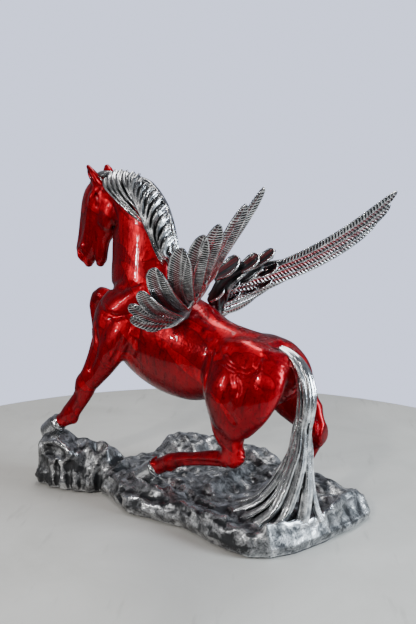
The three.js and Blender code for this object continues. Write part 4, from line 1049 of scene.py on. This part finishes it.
def strand_run(place, foot_x, foot_y, foot, phase):
    """A strand that runs down the rope's surface, then out to its foot on the rock."""
    rope = core[core[:, 2] > ROPE_END][::3]
    t = np.linspace(0, 1, len(rope))
    angle = np.pi * place + TAIL_TURN * (1 - t) + 0.12 * np.sin(6 * t + phase)
    across = rope[:, 8:11] * (RING * rope[:, 3] * np.cos(angle))[:, None]
    around = rope[:, 11:14] * (RING * rope[:, 4] * np.sin(angle))[:, None]
    thick = foot * 0.026 * (rope[:, 3] + rope[:, 4]) + 0.2 * np.sin(5 * t + 2 * phase)
    rows = np.column_stack([rope[:, :3] + across + around, thick, thick])
    x, y = rows[-1][:2]
    fan = [[x + (foot_x - x) * share + 1.2 * np.sin(0.07 * z + phase), y + (foot_y - y) * share, z,
            foot * swell, foot * swell] for share, z, swell in fan_levels]
    return np.vstack([rows, fan])


for k, (place, foot_x, foot_y, foot) in enumerate(strands):
    run = strand_run(place, foot_x, foot_y, foot, 2.1 * k)
    tail.add(run * (1, 1, 1, 0.9, 0.9), STRAND_BLEND, TAIL_FAN)
    for turn in HAIR_TURNS:
        hair = run[:, :3] + RING * run[:, 3:4] * (np.cos(turn), np.sin(turn), 0)
        tail.add(np.hstack([hair, HAIR_SIZE * run[:, 3:5]]), STRAND_BLEND, TAIL_FAN)
tail_piece = skin_mesh("tail_strands", tail, hollow_reach=2.4)
dress(tail_piece, tail_silver, "antique_silver", "tail")

# %% [markdown]
# ## Wings
# A cast feather is a thin leaf with a quill down its middle, a rolled rim, and barbs that slant from the
# quill to the rim like a herringbone. All of that is one formula for height across a flat grid, so
# every feather is the same function with its own length, width and bow. The right wing is the left
# one's mirror, turned four degrees about its hinge, with short cupped feathers over its shoulder.

# %% Feather tables
feathers = [
    # quill, tip, half width, bow
    ((49, -28, 254), (185.6, -117, 345), 6.5, 16),
    ((45, -26, 248), (174, -125, 332), 8.6, 15),
    ((41, -25, 243), (154, -134, 316), 9.4, 14),
    ((36, -25, 237), (139, -134.4, 307), 10.2, 13),
    ((31, -27, 230), (112, -130, 295), 12.4, 11),
    ((27, -31, 223), (69, -118, 275), 13.4, 9),
    ((23, -35, 217), (39, -104, 251), 13, 7),
    ((19, -38, 213), (8, -90, 235), 10.4, 5),
    ((13, -40, 210), (-6, -76, 219), 9, 4),
    ((8, -41, 209), (-4, -64, 212), 7, 3),
]
BOW = np.array([0, -0.7, -0.7])
RIGHT_WING_TURN = np.radians(-4)


def turn_about(rows, axis, angle):
    """Rotates rows of vectors about an axis through the origin."""
    along = np.outer(rows @ axis, axis)
    return along + (rows - along) * np.cos(angle) + np.cross(axis, rows) * np.sin(angle)


pivot = np.array(feathers[0][0], float) * (1, -1, 1)
hinge = unit(np.array(feathers[0][1]) * (1, -1, 1) - pivot)


def wing_place(points, side):
    """Left-wing points as they are, or mirrored and set lower for the right wing."""
    points = np.atleast_2d(points).astype(float)
    if side == "left":
        return points
    return turn_about(points * (1, -1, 1) - pivot, hinge, RIGHT_WING_TURN) + pivot


print("feathers:", len(feathers), "hinge:", hinge)

# %% Leaves
BLADE_COLUMNS = 17


def leaf_frame(middle, fan, tilt=0.0):
    """Unit vectors across a leaf and out of it, at each point of its middle line."""
    ahead = unit(np.gradient(middle, axis=0))
    fan = square_to(ahead, fan)
    upper = np.cross(ahead, fan)
    upper = upper * np.sign(upper[:, 2:])
    return fan * np.cos(tilt) + upper * np.sin(tilt), upper * np.cos(tilt) - fan * np.sin(tilt)


def leaf_sheet(middle, fan, upper, half, height, cup):
    """Two sheets of points round a leaf's middle line, at plus and minus its height."""
    across = np.linspace(-1, 1, BLADE_COLUMNS)
    droop = cup * half[:, None] * across ** 2
    centre = middle[:, None] + fan[:, None] * (half[:, None] * across)[..., None]
    sheets = [centre + upper[:, None] * (droop + sign * height)[..., None] for sign in (1, -1)]
    return np.vstack([sheet.reshape(-1, 3) for sheet in sheets])


def blade_faces(rows):
    """Two sheets of quads back to back, closed all round the edge."""
    grid = np.arange(rows * BLADE_COLUMNS).reshape(rows, BLADE_COLUMNS)
    quads = np.stack([grid[:-1, :-1], grid[1:, :-1], grid[1:, 1:], grid[:-1, 1:]], -1).reshape(-1, 4)
    edge = np.concatenate([grid[0, :-1], grid[:-1, -1], grid[-1, :0:-1], grid[:0:-1, 0]])
    following = np.roll(edge, -1)
    under = grid.size
    wall = np.stack([edge, following, following + under, edge + under], -1)
    return np.vstack([quads, quads[:, ::-1] + under, wall])


def masks_of(hollow, ridge, stain):
    return np.tile(np.stack([hollow, ridge, stain], -1).reshape(-1, 3), (2, 1))


def ramp(value, low, high):
    """A ramp from 0 at low to 1 at high."""
    return np.clip((value - low) / (high - low), 0, 1)


print("faces in a short leaf:", len(blade_faces(24)))

# %% One blade
BARB_PITCH = 3.7
BARB_SLANT = 0.5
ROW_LENGTH = 0.6
THICKNESS = 0.6
# The outline of a long feather: its half width at each share of its length
leaf = np.array([[0, 0.4], [0.12, 0.7], [0.3, 0.92], [0.5, 1], [0.75, 0.97], [0.88, 0.86], [0.95, 0.62],
                 [0.985, 0.36], [1, 0.08]])


def blade(i, tilt, slim=1.0):
    """One long feather as points, masks and faces, turned about its quill by `tilt`."""
    quill, tip, wide, bow = (np.array(value, float) for value in feathers[i])
    length = np.linalg.norm(tip - quill)
    rows = int(length / ROW_LENGTH)
    t = np.linspace(0, 1, rows)
    middle = quill + (tip - quill) * t[:, None] + BOW * (bow * 4 * t * (1 - t))[:, None]
    before, after = feathers[max(i - 1, 0)][1], feathers[min(i + 1, len(feathers) - 1)][1]
    fan, upper = leaf_frame(middle, np.subtract(after, before), tilt)
    half = slim * wide * np.interp(t, *leaf.T)
    T, V = np.meshgrid(t, np.linspace(-1, 1, BLADE_COLUMNS), indexing="ij")
    out = np.abs(V)
    wave = np.sin(2 * np.pi * (T * length - out * half[:, None] * BARB_SLANT) / BARB_PITCH)
    vane = ramp(out, 0.1, 0.2) * ramp(out, 0.95, 0.85) * ramp(T, 1, 0.97)
    rachis = np.exp(-(V / 0.12) ** 2) * (1 - 0.6 * T)
    rim = np.exp(-((out - 0.93) / 0.1) ** 2)
    height = THICKNESS + 0.45 * vane * wave + 0.8 * rachis + 0.5 * rim - 0.3 * (out > 0.99)
    ridge = np.clip(rachis + rim + vane * np.clip(1.4 * wave, 0, 1), 0, 1)
    hollow = 1.4 * vane * np.clip(0.55 - 1.2 * wave, 0, 1) * (1 - rim)
    stain = ramp(V, 0.06, 0.16) * ramp(V, 0.62, 0.47) * np.clip(1.3 - 1.2 * T, 0, 1)
    points = leaf_sheet(middle, fan, upper, half, height, -0.14)
    return points, masks_of(hollow, ridge, stain), blade_faces(rows)


print("points in the longest blade:", len(blade(0, 0.0)[0]))

# %% Shell-shaped coverts
# The right wing shows its upper side: rows of short, cupped feathers whose tips curl up. Each is given
# by its root, its tip, its half width and its lift, from the outermost to the shoulder
SHELL_UP = np.array([0.1, -0.72, 0.68])
SHELL_ROWS = 40
SHELL_CURL = 4.5
SHELL_RIDGES = 3.5
shells = [
    ((66, 33, 266), (86, 47, 281), 7, 1.0), ((68, 43, 256), (84, 56, 266), 7, 0.5),
    ((56, 27, 262), (74, 37, 274), 9.5, 2.0), ((56, 48, 241), (72, 62, 250), 7, 0.0),
    ((46, 34, 248), (66, 44, 257), 8, 1.5), ((42, 42, 236), (58, 56, 242), 7, 0.0),
    ((32, 20, 254), (59, 25, 268), 12.5, 4.0), ((30, 28, 238), (50, 37, 248), 9, 2.0),
    ((26, 32, 227), (44, 44, 236), 8, 1.0), ((20, 20, 228), (36, 28, 240), 9, 3.0),
]


def shell(root, tip, wide, lift):
    """A short cupped feather, in place on the right wing."""
    t = np.linspace(0, 1, SHELL_ROWS)
    root, tip = np.array(root, float), np.array(tip, float)
    middle = root + (tip - root) * t[:, None] + SHELL_UP * (lift + SHELL_CURL * t ** 3)[:, None]
    fan, upper = leaf_frame(middle, np.cross(SHELL_UP, tip - root))
    half = wide * np.interp(t, [0, 0.25, 0.6, 0.85, 0.95, 1], [0.6, 0.85, 1, 0.85, 0.6, 0.25])
    T, V = np.meshgrid(t, np.linspace(-1, 1, BLADE_COLUMNS), indexing="ij")
    edge = np.maximum(np.abs(V), ramp(T, 0.75, 1))
    rim = np.exp(-((edge - 0.96) / 0.13) ** 2)
    wave = np.sin(2 * np.pi * SHELL_RIDGES * V)
    inner = ramp(edge, 0.85, 0.75)
    height = THICKNESS + 0.9 * rim + 0.3 * inner * wave
    hollow = inner * np.clip(0.9 - 0.5 * wave, 0, 1)
    stain = inner * np.clip(2 * wave - 1.2, 0, 1)
    points = leaf_sheet(middle, fan, upper, half, height, 0.3)
    return points, masks_of(hollow, rim, stain), blade_faces(SHELL_ROWS)


print("shells:", len(shells))

# %% Plumage
RIGHT_TILTS = [-0.5] * 3 + [-0.25] * 7
RIGHT_SLIM = [1.0] * 3 + [0.78] * 7
LEFT_TILTS = [0.2] * 7 + [-0.1] * 3


def feather_mesh(name, parts, side):
    """Leaves joined into one mesh that carries their masks, wound outward on both wings."""
    counts = np.cumsum([0] + [len(part[0]) for part in parts])
    quads = np.vstack([part[2] + count for part, count in zip(parts, counts)])
    if side == "right":
        quads = quads[:, ::-1]
    points = np.vstack([part[0] for part in parts])
    made = mesh_object(name, (points + [0, HORSE_Y, 0]) * MM, quads)
    masks = np.vstack([part[1] for part in parts])
    for k, label in enumerate(("hollow", "ridge", "stain")):
        give_mask(made, label, masks[:, k])
    return made


for side, tilts, slims in (("left", LEFT_TILTS, [1.0] * 10), ("right", RIGHT_TILTS, RIGHT_SLIM)):
    parts = [blade(i, tilt, slim) for i, (tilt, slim) in enumerate(zip(tilts, slims))]
    placed = [(wing_place(points, side), masks, faces) for points, masks, faces in parts]
    made = feather_mesh(side + "_wing_feathers", placed, side)
    dress(made, feather_silver, "antique_silver", side + "_wing")
coverts = feather_mesh("right_wing_coverts", [shell(*row) for row in shells], "left")
dress(coverts, feather_silver, "antique_silver", "right_wing")

# %% Wing arms
ARM_STEP = 0.9
ARM_ROOM = 12
arm_runs = [
    [[6, -41, 208, 3, 3.5], [16, -37, 213, 4, 4.5], [24, -29, 225, 5, 5.5], [41, -25, 247, 5, 5.5],
     [70, -42, 266, 4, 4.5], [96, -63, 281, 3.2, 3.5], [128, -84, 302, 2.2, 2.5]],
    [[19, -22, 229, 7, 8], [35, -21, 251, 8, 8], [54, -30, 265, 7, 7], [78, -48, 278, 5, 5],
     [100, -63, 288, 2.4, 3]],
    [[8, -12, 208, 8, 10], [17, -24, 220, 7, 9], [28, -27, 233, 5, 7]],
]
front_edge = [[45, -45, 230, 2, 2], [63, -53, 246, 2.2, 2.2], [82, -66, 258, 2, 2], [94, -72, 267, 1.2, 1.2]]
right_shoulder = [[26, 24, 252, 5, 7], [49, 36, 264, 5, 7], [70, 49, 267, 4, 5], [86, 59, 272, 2, 2.4]]
ARM_TWIST = 0.055               # radians in each millimetre
EDGE_TWIST = 0.3


def wound(line, phase, twist):
    """A strand wound round a line of stations, as on a rope."""
    bone = sweep(line)
    along = np.concatenate([[0], np.cumsum(np.linalg.norm(np.diff(bone[:, :3], axis=0), axis=1))])
    angle = (twist * along + phase)[:, None]
    place = bone[:, :3] + bone[:, 8:11] * bone[:, 3:4] * np.cos(angle)
    place = place + bone[:, 11:14] * bone[:, 4:5] * np.sin(angle)
    return np.column_stack([place, bone[:, 3] * 0.5, bone[:, 3] * 0.5])[::2]


print("stations of a wound strand:", len(wound(front_edge, 0.0, EDGE_TWIST)))

# %% Both wing arms
# The right wing's arm, on the far side, takes the silver with painted shade.
for side, finish in (("left", feather_silver), ("right", painted_shade_silver)):
    lines = arm_runs if side == "left" else [arm_runs[0][:-2], arm_runs[1][:-1], arm_runs[2]]
    runs = lines + [wound(lines[0], phase, ARM_TWIST) for phase in (0.0, 2.1, 4.2)]
    if side == "left":
        runs = runs + [front_edge] + [wound(front_edge, phase, EDGE_TWIST) for phase in (0.0, np.pi)]
    runs = [np.array(run, float) for run in runs]
    runs = [np.hstack([wing_place(run[:, :3], side), run[:, 3:5]]) for run in runs]
    if side == "right":
        runs = [run * (1, 1, 1, 0.75, 0.75) for run in runs] + [np.array(right_shoulder, float)]
    reach = np.vstack(runs)[:, :3]
    arm = Clay(reach.min(0) - ARM_ROOM, reach.max(0) + ARM_ROOM, ARM_STEP)
    arm.add_all(runs, 1)
    dress(skin_mesh(side + "_wing_arm", arm), finish, "antique_silver", side + "_wing")

# %% [markdown]
# ## Rock
# The rock starts from the same outline, mounds and folds as its solid. Noise in a few sizes then roughens
# it, drawn out level on the walls as bedded stone is. The boulder's near side has a crater with a rolled
# rim, upright flutes run down the wall below it, and small pits are pressed in along the front.

# %% Rock noise
LATTICE = 32


def value_noise(points, size, seed):
    """Smooth noise between -1 and 1, with bumps about `size` wide."""
    lattice = np.random.default_rng(seed).uniform(-1, 1, (LATTICE,) * 3)
    place = points / size
    low = np.floor(place).astype(int)
    f = place - low
    return between(low, f * f * (3 - 2 * f), lambda at: lattice[tuple((at % LATTICE).T)])


def crags(points, size, seed):
    """Sharp crests between rounded hollows, from 0 to 1."""
    return 1 - np.abs(value_noise(points, size, seed))


print("noise at the origin:", value_noise(np.zeros((1, 3)), 10, 1))

# %% Rock plan
# In the tables of the rock, y is the model's own.
# Sections of the foot as [x, near y, far y], and mounds as [x, y, reach along x, along y, height]
rock_plan = np.array([
    [-184, -76, -56], [-178, -91, -44], [-172, -93, -40], [-165, -90, -37], [-154, -93, -32],
    [-143, -88, -28], [-136, -90, -25], [-128, -84, -20], [-120, -84, -15], [-111, -77, -8], [-105, -76, 20],
    [-97, -65, 44], [-90, -68, 72], [-77, -68, 92], [-55, -78, 100], [-27, -88, 104], [8, -84, 99],
    [40, -79, 92], [79, -87, 84], [110, -91, 79], [134, -90, 78], [151, -78, 77], [163, -56, 75],
    [172, -16, 72], [179, 28, 64],
])
boulders = [[-166, -70, 40, 34, 36], [-141, -57, 34, 30, 27], [-118, -45, 40, 30, 20]]
mounds = [[-84, 66, 52, 40, 18], [0, 84, 60, 26, 14.4], [96, 60, 60, 24, 8], [188, 30, 20, 80, -15]]
# Folds: a line of [x, y], how far its slopes reach, and its height, which is below zero for a groove
folds = [
    [[[38, -32], [34, -3], [30, 27], [28, 52]], 14, 9],
    [[[50, -16], [58, 4], [54, 30]], 11, -5],
    [[[-71, -52], [-28, -66], [3, -66], [11, -38]], 9, 5.5],
    [[[-44, -82], [-10, -79], [16, -79]], 9, -6],
    [[[-52, -50], [-28, -44], [-5, -29]], 13, 4.5],
    [[[23, -46], [43, -58], [66, -63]], 7, -5],
    [[[78, -80], [98, -80]], 10, 5],
    [[[144, -74], [156, -57], [166, -37], [171, -14], [168, 14], [160, 42], [164, 62]], 7, 7.5],
    [[[136, -60], [148, -36], [152, -6], [146, 30]], 11, -5],
    [[[-95, -72], [-91, -52], [-95, -34]], 8, -9],
    [[[-127, -50], [-121, -61], [-108, -62], [-99, -52], [-104, -40], [-119, -38], [-127, -50]], 6, 5],
    [[[-115, -51], [-111, -50]], 10, -9],
    [[[-2, -46], [10, -51]], 8, -4], [[[33, -58], [36, -60]], 7, -3],
    [[[66, -30], [92, -46], [112, -62]], 8, 4], [[[64, 44], [92, 30], [116, 4]], 9, 4],
    [[[-60, 20], [-40, 44], [-6, 50]], 10, 4], [[[-74, -10], [-48, -8], [-20, 6]], 9, -4],
]
print("boulders:", len(boulders), "mounds:", len(mounds), "folds:", len(folds))

# %% Height of the rock
ROCK_FLOOR = 25


def line_distance(x, y, line):
    """Distance in plan from each point to a line of points, as [x, y]."""
    place = np.stack([x, y], -1)
    best = np.full(len(x), 1e9)
    for start, end in zip(np.array(line[:-1], float), np.array(line[1:], float)):
        step = end - start
        offset = place - start
        t = np.clip(offset @ step / max(step @ step, 1e-9), 0, 1)
        best = np.minimum(best, np.hypot(*(offset - t[:, None] * step).T))
    return best


def mound_height(x, y, mound):
    middle_x, middle_y, reach_x, reach_y, height = mound
    return height * np.maximum(0, 1 - np.hypot((x - middle_x) / reach_x, (y - middle_y) / reach_y) ** 3.2)


def rock_height(x, y):
    total = ROCK_FLOOR + 1.6 * np.sin(0.21 * x + 0.13 * y) * np.cos(-0.07 * x + 0.19 * y)
    total = total + np.max([mound_height(x, y, boulder) for boulder in boulders], axis=0)
    total = total + sum(mound_height(x, y, mound) for mound in mounds)
    for line, reach, height in folds:
        share = np.minimum(1, line_distance(x, y, line) / reach)
        total = total + height * (1 - share ** 2) ** 2
    return total


print("rock at the near hind hoof:", rock_height(np.array([-37.0]), np.array([-50.0])))

# %% Rock clay
ROCK_STEP = 1.2
ROCK_END = -189.8
ROCK_WAIST = 10.5               # the height at which the walls bulge most
ROCK_BULGE = 3.4
ROUGH_DEPTH = 9                 # noise is only worked out this near to the surface
CRAG_LEVEL = 0.55               # crags above it stand out, those below it lie deeper


def plan_distance(x, y):
    """Distance from the rock's foot line in plan, negative inside."""
    loop = np.vstack([rock_plan[:, :2], rock_plan[::-1][:, [0, 2]], rock_plan[:1, :2]])
    inside = np.zeros(len(x), bool)
    for start, end in zip(loop[:-1], loop[1:]):
        if start[1] != end[1]:
            crosses = (start[1] > y) != (end[1] > y)
            inside ^= crosses & (x < start[0] + (y - start[1]) * (end[0] - start[0]) / (end[1] - start[1]))
    best = line_distance(x, y, loop)
    return np.where(inside, -best, best)


rock = Clay((-190, -98, 0), (190, 110, 70), ROCK_STEP)
points = rock.points(tuple(slice(0, size) for size in rock.shape))
columns = points[:: rock.shape[2]]
plan = np.repeat(plan_distance(columns[:, 0], columns[:, 1]), rock.shape[2])
top = np.repeat(rock_height(columns[:, 0], columns[:, 1]), rock.shape[2])
side_wall = plan + 0.9 - ROCK_BULGE * np.clip(1 - np.abs(points[:, 2] - ROCK_WAIST) / 12, 0, 1)
shape = -soft_min(-side_wall, -(points[:, 2] - top) * 0.85, 6.0)
rock.field[:] = shape.reshape(rock.shape)
boulder_brow = [[-165, -83, 46, 7, 9], [-148, -81, 45, 10, 13], [-131, -80, 43, 7, 9]]
rock.add(boulder_brow, 8)
shape = rock.field.ravel().astype(float)
close = np.flatnonzero(np.abs(shape) < ROUGH_DEPTH)
near = points[close]
bedded = near * (1, 1, 2.4)
rough = 2.6 * (CRAG_LEVEL - crags(near, 34, 3)) + 0.9 * (CRAG_LEVEL - crags(bedded, 16, 4))
rough *= np.clip((150 - near[:, 0]) / 50, 0.25, 1)
shape[close] += rough + 0.2 * value_noise(bedded, 4.2, 5)
rock.field[:] = np.maximum(shape, ROCK_END - points[:, 0]).reshape(rock.shape)
print("rock block", rock.field.size)

# %% Hollows in the rock
ROCK_FOOT = 1.8
CRATER = (-148, -87.5, 45)
hollows = [
    [[-161, -92, 45, 7, 7], [-148, -93, 45.5, 9, 9], [-135, -91, 45, 7, 7]],
    [[-88, -72, 20, 6, 5], [-73, -77, 20, 8.5, 8], [-57, -81, 20, 6, 5]],
    [[-172, -92, 52, 3, 3], [-166, -94, 46, 3, 3]],
    [[-5, -87, 22, 3.4, 3], [5, -87, 23, 3.4, 3]], [[22, -85, 21, 4, 3], [30, -85, 22, 4, 3]],
    [[45, -82, 23, 3, 2.6], [54, -83, 22, 3, 2.6]], [[67, -88, 23, 3, 2.6], [74, -89, 22, 3, 2.6]],
    [[-50, -82, 12, 3, 2.6], [-40, -85, 11, 3, 2.6]],
    [[176, -6, 16, 3, 3], [180, 10, 14, 3, 2.6]],
]
rim = [[CRATER[0] + 20 * np.cos(a), CRATER[1] + 2.5 * np.cos(a) ** 2, CRATER[2] + 11.5 * np.sin(a), 3.2, 3.2]
       for a in np.linspace(0, 2 * np.pi, 17)]
rock.add(rim, 4)
for x in (-158, -143, -127, -112, -96):
    wall = np.interp(x, rock_plan[:, 0], rock_plan[:, 1])
    hollows.append([[x, wall - 0.5, 34, 2, 2], [x - 1, wall - 2.5, 25, 4, 4], [x + 1, wall - 4, 14, 4, 4],
                    [x, wall - 3, 4, 2.4, 2.4]])
for run in hollows:
    rock.carve(run, 3)
low_cut = rock.low[2] + rock.step * np.arange(rock.shape[2])
rock.field[:] = np.maximum(rock.field, ROCK_FOOT - low_cut)
rock_piece = skin_mesh("rock", rock, shift=0, hollow_reach=3.0, wide_reach=9.0)
dress(rock_piece, rock_silver, "rock_silver", "rock_base")
print("hollows:", len(hollows))

# %% [markdown]
# ## Sizes
# The picture has to keep the size that the solids were measured and tested at, so the box round
# everything is written out before and after the visible pieces are made.

# %% Write the sizes and finish
boxes = [solid_box, [list(map(float, corner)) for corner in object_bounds()]]
for title, (low, high) in zip(("solids", "pieces"), boxes):
    print(title, "from", np.round(low, 4), "to", np.round(high, 4))
